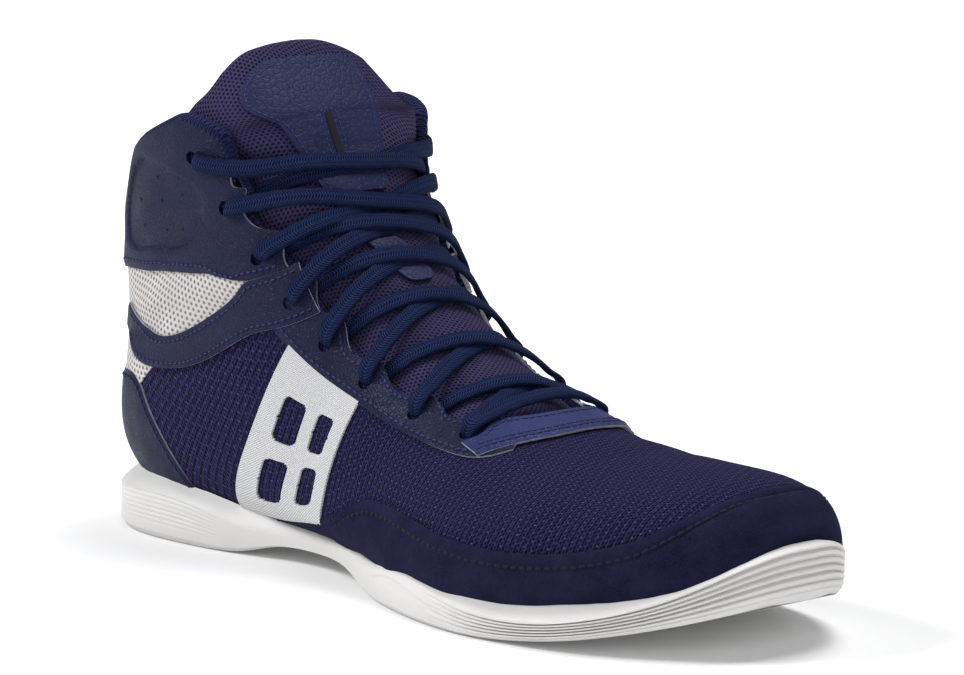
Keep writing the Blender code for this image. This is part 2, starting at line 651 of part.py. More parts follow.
def sole_outline(count=30):
    """Paired outer and inner edges of the sole, toe to heel, with the height of its wall."""
    table = np.array(SOLE_OUTLINE)
    width = BALL_WIDTH + 2 * SOLE_MARGIN
    outer = np.stack([(table[:, 0] - 0.5) * SHOE_LENGTH, table[:, 1] * width], axis=-1)
    inner = np.stack([(table[:, 0] - 0.5) * SHOE_LENGTH, table[:, 2] * width], axis=-1)
    reach = np.linalg.norm(np.diff(outer, axis=0), axis=1) + np.linalg.norm(np.diff(inner, axis=0), axis=1)
    places = np.concatenate([[0], np.cumsum(reach)])
    at = np.linspace(0, places[-1], count)
    outer = spline(places, outer, at)
    inner = spline(places, inner, at)
    inner[:, 0] = outer[:, 0]
    inner[-1] = outer[-1]
    inner[0] = outer[0]
    return outer, inner, np.interp(at, places, table[:, 3] * SOLE_WALL)


def sole_ring():
    """The closed outline, its outward directions, its share of the length and its wall height."""
    outer, inner, wall = sole_outline()
    ring = np.concatenate([outer, inner[-2:0:-1]])
    wall = np.concatenate([wall, wall[-2:0:-1]])
    ahead = np.roll(ring, -1, axis=0) - np.roll(ring, 1, axis=0)
    out = np.stack([ahead[:, 1], -ahead[:, 0]], axis=-1)
    out /= np.linalg.norm(out, axis=1)[:, None]
    if (out * (ring - ring.mean(axis=0))).sum() < 0:
        out = -out
    return ring, out, ring[:, 0] / SHOE_LENGTH + 0.5, wall


def capped_rings(rings, pairs):
    """Faces between closed rings, with the first and last ring closed by strips between paired points."""
    count = len(rings[0])
    faces = [
        (k * count + i, k * count + (i + 1) % count, (k + 1) * count + (i + 1) % count, (k + 1) * count + i)
        for k in range(len(rings) - 1) for i in range(count)
    ]
    top = (len(rings) - 1) * count
    for (a, b), (c, d) in zip(pairs, pairs[1:]):
        quad = [p for p in dict.fromkeys((a, c, d, b))]
        faces.append(tuple(quad))
        faces.append(tuple(top + p for p in quad[::-1]))
    return faces


def outsole(group, cutters):
    """The sole unit: flat at heel and ball, raised at the arch and toe, with a ribbed side and a hollow top."""
    look = material("white rubber", OFF_WHITE, 0.6)
    ring, out, x, wall = sole_ring()
    floor = floor_height(x)
    levels = np.linspace(0, 1, 2 * RIB_COUNT + 1)
    ribbed = np.clip((x - RIBS_TOE_FROM) / RIBS_TOE_RUN, 0, 1)
    ribbed += RIBS_HEEL_SHARE * np.clip((RIBS_HEEL_FROM - x) / RIBS_HEEL_RUN, 0, 1)
    rings = [np.column_stack([ring - out * SOLE_EDGE_ROUND, floor])]
    for k, level in enumerate(levels):
        rib = RIB_DEPTH * ribbed * (1 if k % 2 else 0)
        rounded = SOLE_EDGE_ROUND * np.clip(1 - level * SOLE_EDGE_FADE, 0, 1) ** 2 * SOLE_EDGE_FULL
        height = floor + wall * (SOLE_EDGE_HEIGHT + (1 - SOLE_EDGE_HEIGHT) * level)
        rings.append(np.column_stack([ring - out * (rib + rounded)[:, None], height]))
    rings.append(np.column_stack([ring - out * LIP_INSET, floor + wall + LIP_RISE]))
    half = len(ring) // 2
    pairs = [(0, 0)] + [(i, len(ring) - i) for i in range(1, half)] + [(half, half)]
    made = mesh_object("outsole", np.concatenate(rings), capped_rings(rings, pairs), look, group)
    for name, cutter in (("Foot", foot_cutter(cutters)), ("Tread", tread_cutter(cutters))):
        modifier = made.modifiers.new(name, "BOOLEAN")
        modifier.operation = "DIFFERENCE"
        modifier.object = cutter
        modifier.solver = "EXACT"
    weld(made)
    return made


def hide(cutter):
    cutter.hide_render = True
    cutter.display_type = "WIRE"
    return cutter


def foot_cutter(cutters):
    """The closed last with its overlays: it hollows the top of the sole, nearer to it under the foot."""
    rows = GRID_U[:CUFF_START + 1]
    u = np.concatenate([rows[:, PANEL_COLUMN:PANEL_COLUMN + 1]] * 13, axis=1)
    wall = [across(u[:, 0], SIDE - c) for c in range(PANEL_COLUMN, LOW_COLUMN - 1, -1)]
    low = wall[-1]
    half = [0 * low, wall[0] / 2, *wall]
    half += [low + (1 - low) * k for k in (0.2, 0.5, 1.0)]
    under = [0] * 7 + [1] * 3
    lift = [FIT + (OVERLAY + FIT) * np.where(low < 1, 1 - k, 1) for k in under]
    v = np.stack([-h for h in half[::-1]] + half[1:], axis=1)
    lift = np.stack(lift[::-1] + lift[1:], axis=1)
    u = rows[:, PANEL_COLUMN][:, None] + 0 * v
    points = skin(u, v, lift)
    faces = split(points, skin(u, v, lift + 0.001) - points, grid_faces(*u.shape))
    end = (u.shape[0] - 1) * u.shape[1]
    faces.append(tuple(end + j for j in range(u.shape[1] - 1)))
    return hide(mesh_object("foot_cutter", points, faces, None, cutters))


def tread_cutter(cutters):
    """Shallow grooves across the bottom, at the forefoot and the heel."""
    places = np.concatenate([np.linspace(*FOREFOOT_GROOVES), np.linspace(*HEEL_GROOVES)])
    work = bmesh.new()
    for x in places:
        made = bmesh.ops.create_cube(work, size=1.0)["verts"]
        bmesh.ops.scale(work, verts=made, vec=(GROOVE_WIDTH, 2 * BALL_WIDTH, 2 * GROOVE_DEPTH))
        bmesh.ops.translate(work, verts=made, vec=((x - 0.5) * SHOE_LENGTH, 0, floor_height(x)))
    mesh = bpy.data.meshes.new("tread_cutter")
    work.to_mesh(mesh)
    work.free()
    cutter = bpy.data.objects.new("tread_cutter", mesh)
    cutters.objects.link(cutter)
    return hide(cutter)


def lace_strand(name, start, end, heights, look, group, dip=0.0, steps=12):
    """One flat strand over the tongue between two eyelets, with its heights at the start, middle and end."""
    share = (1 - np.cos(np.linspace(0, np.pi, steps))) / 2
    u = start[0] * (1 - share) + end[0] * share - dip * np.sin(np.pi * share)
    v = start[1] * (1 - share) + end[1] * share
    swap = np.clip((share - 0.35) / 0.3, 0, 1)
    rise = heights[0] * (1 - swap) + heights[2] * swap
    rise += (heights[1] - (heights[0] + heights[2]) / 2) * np.sin(np.pi * share) ** 2
    clear = np.interp(u, LACE_CLEAR_U, (LACE_CLEAR, LACE_CUFF_CLEAR))
    middle = skin(u, v, FIT + OVERLAY + clear + LACE_THICK / 2 + rise)
    length = np.linalg.norm(np.diff(middle, axis=0), axis=1).sum()
    keep = LACE_END_GAP / length + share * (1 - 2 * LACE_END_GAP / length)
    middle = np.stack([np.interp(keep, share, middle[:, k]) for k in range(3)], axis=-1)
    u = np.interp(keep, share, u)
    v = np.interp(keep, share, v)
    up = skin(u, v, 0.001) - skin(u, v, 0.0)
    up /= np.linalg.norm(up, axis=1)[:, None]
    side = np.cross(np.gradient(middle, axis=0), up)
    side *= LACE_WIDTH / 2 / np.linalg.norm(side, axis=1)[:, None]
    thick = up * LACE_THICK / 2
    rings = [np.array([m - s - t, m + s - t, m + s + t, m - s + t]) for m, s, t in zip(middle, side, thick)]
    faces = [
        (k * 4 + i, k * 4 + (i + 1) % 4, (k + 1) * 4 + (i + 1) % 4, (k + 1) * 4 + i)
        for k in range(steps - 1) for i in range(4)
    ]
    faces += [(3, 2, 1, 0), tuple((steps - 1) * 4 + i for i in range(4))]
    return mesh_object(name, np.concatenate(rings), faces, look, group)


def laces(group, cutters):
    """A bar over the throat piece and a joined crossing between each two pairs of eyelets."""
    look = material("woven lace", LACE_BLUE, 0.8)
    outer = [(u, -v) for u, v in zip(EYELET_U, EYELET_V)]
    inner = list(zip(EYELET_U, EYELET_V))
    upper_level = LACE_THICK + 7 * FIT
    lace_strand("lace_bar_low", outer[-1], inner[-1], (0, upper_level / 2, upper_level), look, group)
    over = (upper_level, LACE_ARCH + LACE_THICK / 2, upper_level)
    for k in range(EYELETS - 1):
        dip = LACE_DIPS[k]
        under = hide(lace_strand(f"under_{k + 1}", inner[k + 1], outer[k], (0, LACE_ARCH, 0), look, cutters, dip))
        made = lace_strand(f"lace_crossing_{k + 1}", outer[k + 1], inner[k], over, look, group, dip)
        modifier = made.modifiers.new("Crossing", "BOOLEAN")
        modifier.operation = "UNION"
        modifier.object = under
        modifier.solver = "EXACT"


def main():
    clear_scene()
    shoe = collection("wrestling_shoe")
    cutters = collection("cutters", hidden=True)
    upper(material("vamp mesh", MIDNIGHT, 0.9), shoe)
    overlays(shoe)
    outsole(shoe, cutters)
    insole(shoe)
    tongue(shoe)
    badge(shoe)
    laces(shoe, cutters)


main()
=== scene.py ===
# %% [markdown]
# # A wrestling shoe, dressed around its CAD model
# The CAD model already has every part of the shoe at its real size. This lesson models the same parts
# again, finer and softer, and gives each its cloth, suede or rubber. A shoe is made by pulling flat pattern
# pieces over a wooden last, so we do the same: a flat grid is the pattern piece, and skin() is the last.

# %% Load the frame
import math

import bpy
import numpy as np
from mathutils import Matrix, Vector, kdtree
from mathutils.bvhtree import BVHTree


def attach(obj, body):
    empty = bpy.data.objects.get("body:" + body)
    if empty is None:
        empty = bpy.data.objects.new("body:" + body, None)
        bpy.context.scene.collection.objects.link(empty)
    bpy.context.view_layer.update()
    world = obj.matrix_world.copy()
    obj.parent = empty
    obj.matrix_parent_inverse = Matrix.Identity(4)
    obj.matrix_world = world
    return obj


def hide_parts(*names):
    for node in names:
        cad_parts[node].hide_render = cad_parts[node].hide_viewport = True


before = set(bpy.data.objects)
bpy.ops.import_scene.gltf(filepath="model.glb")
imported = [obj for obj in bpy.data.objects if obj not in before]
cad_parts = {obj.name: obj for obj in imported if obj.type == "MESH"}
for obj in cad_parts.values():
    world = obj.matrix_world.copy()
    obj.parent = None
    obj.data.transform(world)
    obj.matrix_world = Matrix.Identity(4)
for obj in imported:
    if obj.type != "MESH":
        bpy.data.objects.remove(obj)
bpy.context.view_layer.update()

# %% [markdown]
# ## Camera
# The camera comes first, because all that follows is judged through it. A product photograph is taken with
# a long lens from well back, so that the toe doesn't look too large. We give the camera's direction as two
# angles round the shoe, and its distance and lens in real units.

# %% Camera
AZIMUTH = math.radians(50.32)
ELEVATION = math.radians(10.74)
DISTANCE = 1.400
LENS = 161.36
TARGET = Vector((-0.00125, 0.0, 0.060))
AIM_RIGHT = 0.0106
AIM_UP = 0.0180
back = Vector((math.sin(AZIMUTH) * math.cos(ELEVATION), -math.cos(AZIMUTH) * math.cos(ELEVATION),
               math.sin(ELEVATION)))
right = (-back).cross(Vector((0, 0, 1))).normalized()
up = right.cross(-back)
# The shoe stands a little off the middle of the picture.
aim = TARGET + right * AIM_RIGHT + up * AIM_UP
bpy.ops.object.camera_add(location=TARGET + back * DISTANCE)
camera = bpy.context.object
camera.rotation_euler = (aim - camera.location).to_track_quat("-Z", "Y").to_euler()
camera.data.lens = LENS
camera.data.sensor_width = 36.0
camera.data.clip_start = 0.05
bpy.context.scene.camera = camera
print("camera at", [round(c, 3) for c in camera.location])

# %% [markdown]
# ## Light and floor
# The photograph has soft light from the front left, a weaker one from the right and a white floor. Large area
# lights give soft edges to the shadows, and a pale world fills them.

# %% Light and floor
LIT_PLACE = Vector((0, 0, 0.05))
# name, place, size and power
LIGHTS = (
    ("key", (-1.0, -1.3, 1.5), 0.7, 33.0),
    ("fill", (1.7, -0.8, 0.9), 1.2, 6.0),
    ("top", (0.1, 0.5, 1.9), 1.0, 27.0),
)
for name, place, size, power in LIGHTS:
    bpy.ops.object.light_add(type="AREA", location=place)
    lamp = bpy.context.object
    lamp.name = name
    lamp.data.size = size
    lamp.data.energy = power
    lamp.rotation_euler = (LIT_PLACE - lamp.location).to_track_quat("-Z", "Y").to_euler()
world = bpy.data.worlds.new("studio")
world.use_nodes = True
sky = world.node_tree.nodes["Background"].inputs
sky["Color"].default_value = (0.93, 0.94, 0.96, 1)
sky["Strength"].default_value = 0.31
scene = bpy.context.scene
scene.world = world
scene.view_settings.view_transform = "Standard"
scene.view_settings.look = "None"
scene.view_settings.gamma = 0.93
bpy.ops.mesh.primitive_plane_add(size=12)
floor = bpy.context.object
floor.name = "studio_floor"
paper = bpy.data.materials.new("paper floor")
paper.use_nodes = True
paper_nodes = paper.node_tree.nodes
paper_inputs = paper_nodes["Principled BSDF"].inputs
paper_inputs["Base Color"].default_value = (0.90, 0.90, 0.90, 1)
paper_inputs["Emission Color"].default_value = (1, 1, 1, 1)
paper_inputs["Roughness"].default_value = 0.9
# The paper glows more and more away from the shoe, as in a lit sweep, and stays dull in the shoe's shadow.
away = paper_nodes.new("ShaderNodeVectorMath")
away.operation = "LENGTH"
glow = paper_nodes.new("ShaderNodeMapRange")
for socket, value in {"From Min": 0.30, "From Max": 1.2, "To Min": 0.05, "To Max": 0.60}.items():
    glow.inputs[socket].default_value = value
paper.node_tree.links.new(paper_nodes.new("ShaderNodeTexCoord").outputs["Object"], away.inputs[0])
paper.node_tree.links.new(away.outputs["Value"], glow.inputs["Value"])
paper.node_tree.links.new(glow.outputs[0], paper_inputs["Emission Strength"])
floor.data.materials.append(paper)
print("lights:", len(LIGHTS))

# %% [markdown]
# ## Helpers for lines
# Every edge, seam and lace of the shoe is a line of points. way_along() measures a line, sample() reads
# points off it, and ramp() and bell() are the two soft shapes that most heights are made of.

# %% Helpers for lines
def way_along(line):
    """The distance from the start of a line to each of its points."""
    return np.concatenate([[0], np.cumsum(np.linalg.norm(np.diff(line, axis=0), axis=1))])


def sample(at, way, line):
    """The points of a line at the wanted distances along it."""
    return np.stack([np.interp(at, way, column) for column in line.T], axis=-1)


def unit(vectors):
    """The same directions, one long."""
    return vectors / (np.linalg.norm(vectors, axis=-1)[..., None] + 1e-12)


def ramp(distance, length):
    """0 up to the start, 1 from the given length on, and straight between the two."""
    return np.clip(distance / length, 0, 1)


def bell(distance, width):
    """1 in the middle, and a soft fall to 0 on both sides."""
    return np.exp(-(distance / width) ** 2)


print("line helpers ready")

# %% [markdown]
# ## The last
# A last is a solid foot form. Ours is a surface worked out from rows of sections, the same rows as the CAD
# model has. skin(u, v, lift) gives a point on it: u runs from the toe tip over the instep to the leg, v runs
# from the ridge (0) down the outer side to -1 and down the inner side to +1, and lift moves the point out.

# %% The last's tables
SHOE_LENGTH = 0.3015
BALL_WIDTH = 0.0985
INSTEP_HEIGHT = 0.085
SHAFT_HEIGHT = 0.151
SHAFT_WIDTH = 0.0875
SEAT_HEIGHT = 0.008
# x_low  z_low  x_top  z_top  ridge  outer  inner  belly  round_low  round_top
FOREPART = (
    (0.988, 3.00, 0.988, 0.282, 0.162, 0.0005, 0.0005, 0.45, 2.0, 2.0),
    (0.983, 2.30, 0.985, 0.400, 0.162, 0.142, 0.122, 0.40, 2.3, 2.1),
    (0.960, 1.80, 0.970, 0.518, 0.157, 0.284, 0.220, 0.38, 2.8, 2.3),
    (0.910, 1.44, 0.927, 0.588, 0.152, 0.406, 0.305, 0.36, 3.2, 2.4),
    (0.837, 1.00, 0.854, 0.606, 0.132, 0.508, 0.362, 0.34, 3.4, 2.3),
    (0.761, 0.75, 0.781, 0.618, 0.112, 0.568, 0.388, 0.31, 3.6, 2.2),
    (0.682, 0.63, 0.708, 0.647, 0.091, 0.589, 0.411, 0.28, 3.6, 2.1),
    (0.595, 0.69, 0.635, 0.718, 0.071, 0.548, 0.401, 0.25, 3.6, 2.1),
    (0.506, 1.00, 0.562, 0.841, 0.051, 0.477, 0.386, 0.24, 3.4, 2.1),
    (0.406, 1.19, 0.492, 1.000, 0.030, 0.426, 0.371, 0.26, 3.2, 2.3),
    (0.297, 1.12, 0.439, 1.153, 0.010, 0.406, 0.386, 0.32, 3.0, 2.6),
    (0.184, 1.00, 0.403, 1.282, 0.000, 0.416, 0.401, 0.42, 3.2, 3.0),
)
SHAFT = (
    (0.091, 0.060, 0.376, 0.785, 0.0, 0.480, 0.469, 0.47, 3.2, 3.2),
    (0.022, 0.126, 0.357, 0.841, 0.0, 0.480, 0.480, 0.50, 2.9, 3.4),
    (0.007, 0.278, 0.340, 0.887, 0.0, 0.474, 0.497, 0.52, 2.5, 3.5),
    (0.012, 0.450, 0.327, 0.927, 0.0, 0.474, 0.514, 0.54, 2.4, 3.6),
    (0.017, 0.622, 0.315, 0.964, 0.0, 0.491, 0.531, 0.54, 2.4, 3.6),
    (0.045, 0.795, 0.304, 1.000, 0.0, 0.491, 0.537, 0.54, 2.3, 3.6),
    (0.081, 0.927, 0.257, 1.132, 0.0, 0.446, 0.480, 0.54, 2.3, 3.2),
)
print("last:", len(FOREPART), "rows for the foot and", len(SHAFT), "for the heel and shaft")


# %% From the tables to a fine surface
SECTIONS = 401
HALF_POINTS = 97


def spline(knots, values, at):
    """A natural cubic spline through rows of values."""
    knots = np.asarray(knots, float)
    values = np.asarray(values, float)
    step = np.diff(knots)
    slope = np.diff(values, axis=0) / step[:, None]
    system = np.eye(len(knots))
    rhs = np.zeros_like(values)
    for i in range(1, len(knots) - 1):
        system[i, i - 1:i + 2] = step[i - 1], 2 * (step[i - 1] + step[i]), step[i]
        rhs[i] = 6 * (slope[i] - slope[i - 1])
    bend = np.linalg.solve(system, rhs)
    k = np.clip(np.searchsorted(knots, at) - 1, 0, len(step) - 1)
    t = (at - knots[k])[:, None]
    h = step[k][:, None]
    first = slope[k] - h * (2 * bend[k] + bend[k + 1]) / 6
    return values[k] + t * (first + t * (bend[k] / 2 + t * (bend[k + 1] - bend[k]) / (6 * h)))


def last_rows():
    """The rows of both tables in metres."""
    rows = []
    for table, low, top, width in ((FOREPART, SEAT_HEIGHT, INSTEP_HEIGHT, BALL_WIDTH),
                                   (SHAFT, SHAFT_HEIGHT, SHAFT_HEIGHT, SHAFT_WIDTH)):
        for x_low, z_low, x_top, z_top, ridge, outer, inner, belly, round_low, round_top in table:
            rows.append(((x_low - 0.5) * SHOE_LENGTH, z_low * low, (x_top - 0.5) * SHOE_LENGTH, z_top * top,
                         ridge * BALL_WIDTH, outer * width, inner * width, belly, round_low, round_top))
    return np.array(rows)


def half_section(row, side):
    """One side of a section from the ridge to the bottom, evenly spaced."""
    x_low, z_low, x_top, z_top, ridge, outer, inner, belly, round_low, round_top = row
    turn = np.linspace(-np.pi / 2, np.pi / 2, 193)
    above = turn < 0
    power = np.where(above, round_top, round_low)
    out = np.abs(np.cos(turn)) ** (2 / power) * max(outer if side < 0 else inner, 1e-5)
    rise = np.abs(np.sin(turn)) ** (2 / power)
    height = np.where(above, belly + (1 - belly) * rise, belly * (1 - rise))
    line = np.stack([x_low + (x_top - x_low) * height, ridge + side * out,
                     z_low + (z_top - z_low) * height], axis=-1)
    way = way_along(line)
    return sample(np.linspace(0, way[-1], HALF_POINTS), way, line)


def make_skin():
    """The points and the outward directions of the whole last, row by row."""
    rows = last_rows()
    middle = (rows[:, 0:2] + rows[:, 2:4]) / 2
    moved = np.hypot(*np.diff(middle, axis=0).T)
    moved += 0.35 * np.abs(np.diff(rows[:, 5])) + 0.35 * np.abs(np.diff(rows[:, 3] - rows[:, 1]))
    places = np.concatenate([[0], np.cumsum(moved)])
    sections = spline(places / places[-1], rows, np.linspace(0, 1, SECTIONS))
    points = np.array([
        np.concatenate([half_section(row, -1)[::-1], half_section(row, 1)[1:]]) for row in sections
    ])
    points[0] = points[0].mean(axis=0)
    run = np.gradient(points, axis=0)
    wide = np.gradient(points, axis=1)
    wide[:, 0] = wide[:, -1] = points[:, 1] - points[:, -2]
    normals = np.cross(wide, run)
    normals[0] = (1, 0, 0)
    normals /= np.linalg.norm(normals, axis=-1)[..., None] + 1e-12
    seam = normals[:, 0] + normals[:, -1]
    normals[:, 0] = normals[:, -1] = seam / np.linalg.norm(seam, axis=-1)[:, None]
    if (normals * (points - points.mean(axis=(0, 1)))).sum() < 0:
        normals[1:] *= -1
    return points, normals


SKIN_POINTS, SKIN_NORMALS = make_skin()
print("the last has", SKIN_POINTS.shape[0] * SKIN_POINTS.shape[1], "points")

# %% [markdown]
# ## Creases
# Cloth on a shoe is never dead smooth. The main creases are soft troughs (a minus depth) and ridges, each a
# line from one (u, v) place to another. They go into skin() itself, so that every layer follows them.

# %% Creases placed one by one
# u0, v0, u1, v1, half width and depth in metres
CREASES = (
    (0.800, -0.700, 0.738, -0.500, 0.0026, -0.0013),
    (0.818, -0.680, 0.762, -0.480, 0.0024, 0.0011),
    (0.838, -0.660, 0.790, -0.480, 0.0026, -0.0010),
    (0.770, -0.620, 0.722, -0.440, 0.0024, 0.0008),
    (0.720, -0.430, 0.668, -0.250, 0.0035, -0.0009),
    (0.745, -0.700, 0.700, -0.470, 0.0040, -0.0006),
    (0.800, 0.700, 0.738, 0.500, 0.0026, -0.0013),
    (0.818, 0.680, 0.762, 0.480, 0.0024, 0.0011),
    (0.720, 0.430, 0.668, 0.250, 0.0035, -0.0009),
    (0.300, -0.120, 0.285, -0.420, 0.0060, -0.0006),
    (0.270, -0.100, 0.245, -0.430, 0.0055, 0.0005),
    (0.235, 0.300, 0.250, -0.250, 0.0060, -0.0005),
    (0.290, 0.420, 0.300, 0.080, 0.0060, -0.0006),
    (0.380, -0.480, 0.372, -0.760, 0.0050, 0.0007),
    (0.350, -0.470, 0.345, -0.760, 0.0050, -0.0006),
    (0.300, -0.480, 0.300, -0.760, 0.0060, 0.0005),
    (0.200, -0.480, 0.190, -0.740, 0.0060, -0.0005),
    (0.560, -0.400, 0.540, -0.680, 0.0050, -0.0006),
    (0.520, -0.380, 0.500, -0.620, 0.0050, 0.0005),
    (0.545, 0.380, 0.530, 0.680, 0.0050, -0.0008),
    (0.505, 0.380, 0.495, 0.640, 0.0050, 0.0006),
    (0.476, -0.690, 0.330, -0.640, 0.0020, -0.0009),
    (0.470, -0.725, 0.315, -0.690, 0.0022, 0.0008),
    (0.462, -0.760, 0.280, -0.735, 0.0020, -0.0008),
    (0.330, -0.640, 0.205, -0.650, 0.0022, 0.0006),
    (0.260, -0.700, 0.150, -0.690, 0.0020, -0.0007),
    (0.180, -0.600, 0.100, -0.500, 0.0026, -0.0007),
    (0.900, -0.640, 0.870, -0.980, 0.0060, -0.0008),
    (0.860, -0.800, 0.850, -0.990, 0.0050, -0.0006),
)
U_METRES = 0.40
V_METRES = 0.125


def creases(u, v):
    """The height of all creases at u and v."""
    total = 0.0 * u
    for u0, v0, u1, v1, width, depth in CREASES:
        run = np.array([(u1 - u0) * U_METRES, (v1 - v0) * V_METRES])
        a = (u - u0) * U_METRES
        b = (v - v0) * V_METRES
        share = np.clip((a * run[0] + b * run[1]) / (run @ run), 0, 1)
        off = np.hypot(a - share * run[0], b - share * run[1])
        fade = np.sin(np.pi * np.clip(share, 0.08, 0.92)) ** 0.7
        total = total + depth * bell(off, width) * fade
    return total


def skin(u, v, lift=0.0):
    """Points of the last at u and v, moved out by lift and by the creases. v runs on past the heel seam."""
    u, v, lift = np.broadcast_arrays(np.asarray(u, float), np.asarray(v, float), np.asarray(lift, float))
    rows, columns = SKIN_POINTS.shape[:2]
    v = np.where(v < -1, v + 2, np.where(v > 1, v - 2, v))
    i = np.clip(u, 0, 1) * (rows - 1)
    j = (v + 1) / 2 * (columns - 1)
    i0 = np.minimum(i.astype(int), rows - 2)
    j0 = np.minimum(j.astype(int), columns - 2)
    a = (i - i0)[..., None]
    b = (j - j0)[..., None]

    def mixed(grid):
        near = grid[i0, j0] * (1 - b) + grid[i0, j0 + 1] * b
        far = grid[i0 + 1, j0] * (1 - b) + grid[i0 + 1, j0 + 1] * b
        return near * (1 - a) + far * a

    normal = mixed(SKIN_NORMALS)
    normal /= np.linalg.norm(normal, axis=-1)[..., None]
    return mixed(SKIN_POINTS) + normal * (lift + creases(u, v))[..., None]


def out_of(u, v, lift=0.0):
    """The direction out of the last, as the step over its last millimetre."""
    return skin(u, v, lift + 0.001) - skin(u, v, lift)


print("creases:", len(CREASES))

# %% [markdown]
# ## Materials
# All materials are made of nodes. node() adds one and links or sets its inputs, and maths() is a Math node.
# Patterns that follow the cloth read the piece's own UV map, which is in metres, so a pitch of 0.0012 is a
# real 1.2 mm. Nap, grain and dirt have no direction, and read Object coordinates.

# %% Small helpers for nodes
def node(look, kind, *values, **settings):
    """Adds a node to a material, with its first inputs linked or set and its settings by name."""
    made = look.node_tree.nodes.new("ShaderNode" + kind)
    for key, value in settings.items():
        setattr(made, key, value)
    for place, value in enumerate(values):
        if isinstance(value, bpy.types.NodeSocket):
            look.node_tree.links.new(value, made.inputs[place])
        elif value is not None:
            made.inputs[place].default_value = value
    return made


def maths(look, operation, *values):
    return node(look, "Math", *values, operation=operation).outputs[0]


def new_look(name, colour, roughness, specular, **finish):
    """A material with a Principled shader; finish sets its other sockets by name."""
    look = bpy.data.materials.new(name)
    look.use_nodes = True
    shader = look.node_tree.nodes["Principled BSDF"]
    shader.inputs["Base Color"].default_value = (*colour, 1)
    shader.inputs["Roughness"].default_value = roughness
    shader.inputs["Specular IOR Level"].default_value = specular
    for key, value in finish.items():
        shader.inputs[key.replace("_", " ")].default_value = value
    return look, shader


def spread(look, value, *limits):
    """Takes the range between the first two limits to that between the last two."""
    return node(look, "MapRange", value, *limits).outputs[0]


def mix_colour(look, factor, first, second):
    """Goes from the first colour to the second as the factor goes from 0 to 1."""
    made = node(look, "Mix", data_type="RGBA")
    made.clamp_factor = True
    for place, value in ((0, factor), (6, first), (7, second)):
        if isinstance(value, bpy.types.NodeSocket):
            look.node_tree.links.new(value, made.inputs[place])
        else:
            made.inputs[place].default_value = value if place == 0 else (*value, 1)
    return made.outputs[2]


def paint(look, shader, colour, roughness, height, distance):
    """Links the colour and roughness, where given, and the height, through a Bump node, to the shader."""
    links = look.node_tree.links
    if colour:
        links.new(colour, shader.inputs["Base Color"])
    if roughness:
        links.new(roughness, shader.inputs["Roughness"])
    bump = node(look, "Bump")
    bump.inputs["Strength"].default_value = 1.0
    bump.inputs["Distance"].default_value = distance
    links.new(height, bump.inputs["Height"])
    links.new(bump.outputs[0], shader.inputs["Normal"])
    return look


def cloth_axes(look):
    """The two sockets of the piece's UV map: metres along and metres across."""
    split = node(look, "SeparateXYZ", node(look, "UVMap", uv_map="pattern").outputs[0])
    return split.outputs[0], split.outputs[1]


def noise(look, scale, detail=2.0, rough=0.5):
    """Noise over the Object coordinates, for what has no direction in the cloth."""
    where = node(look, "TexCoord").outputs["Object"]
    made = node(look, "TexNoise")
    look.node_tree.links.new(where, made.inputs["Vector"])
    made.inputs["Scale"].default_value = scale
    made.inputs["Detail"].default_value = detail
    made.inputs["Roughness"].default_value = rough
    return made.outputs[0]


def wave(look, along, pitch, shift=0.0):
    """A sine between 0 and 1 with the given pitch."""
    turn = maths(look, "MULTIPLY_ADD", along, 2 * math.pi / pitch, shift)
    return maths(look, "MULTIPLY_ADD", maths(look, "SINE", turn), 0.5, 0.5)


print("node helpers ready")

# %% [markdown]
# ### The cloths
# Sports mesh is knitted with small holes in staggered rows. A sine along the cloth gives the rows, a second
# one across it gives the holes, and half a turn of shift on every other row staggers them. The result serves
# as height for the bump and as the mask between the yarn's colour and the dark of the holes. That dark is
# partly the layer seen through the holes and partly painted shade inside them.


# %% Mesh, knit and perforated cloth
def staggered(look, along, across, row, hole):
    """Yarn (1) and holes (0) in rows, every other row shifted by half a hole."""
    count = maths(look, "FLOOR", maths(look, "DIVIDE", along, row))
    shift = maths(look, "MULTIPLY", count, math.pi)
    rows = wave(look, along, row, -math.pi / 2)
    holes = wave(look, across, hole, shift)
    return maths(look, "SUBTRACT", 1.0, maths(look, "MULTIPLY", rows, holes))


def mesh_cloth(name, yarn, deep, row, hole, bump, sheen, glint_colour=None, ribs=0.0):
    """Knitted mesh: row and hole are its pitches in metres; deep is the dark of the holes, partly painted
    shade, and the painted shade between the ribs.
    """
    look, shader = new_look(name, yarn, 0.85, 0.1, Sheen_Weight=sheen, Sheen_Roughness=0.5)
    along, across = cloth_axes(look)
    cells = staggered(look, along, across, row, hole)
    thread = wave(look, across, hole / 3)
    body = maths(look, "MULTIPLY_ADD", thread, 0.12, cells)
    if ribs:
        body = maths(look, "MULTIPLY_ADD", wave(look, along, ribs), 0.45, body)
    mask = spread(look, cells, 0.25, 0.85, 0.0, 1.0)
    # Partly painted shade: the holes take the deep colour, which stands for the layer behind and the shade
    # inside them.
    colour = mix_colour(look, mask, deep, yarn)
    if ribs:
        # Painted shade: the valleys between the ribs are darkened towards the deep colour.
        rib_shade = spread(look, wave(look, along, ribs), 0.0, 0.7, 0.75, 0.0)
        colour = mix_colour(look, rib_shade, colour, deep)
    # Painted highlight: small pale glints in diagonal rows, where light would catch the yarn.
    if glint_colour:
        diagonal = maths(look, "ADD", along, across)
        glint = maths(look, "MULTIPLY", wave(look, diagonal, row * 3.0), wave(look, across, hole * 1.5))
        glint = spread(look, glint, 0.80, 0.98, 0.0, 0.8)
        colour = mix_colour(look, glint, colour, glint_colour)
    shade = spread(look, noise(look, 60.0), 0.35, 0.65, 0.0, 0.25)
    colour = mix_colour(look, shade, colour, tuple(c * 0.6 for c in yarn))
    return paint(look, shader, colour, None, body, bump)


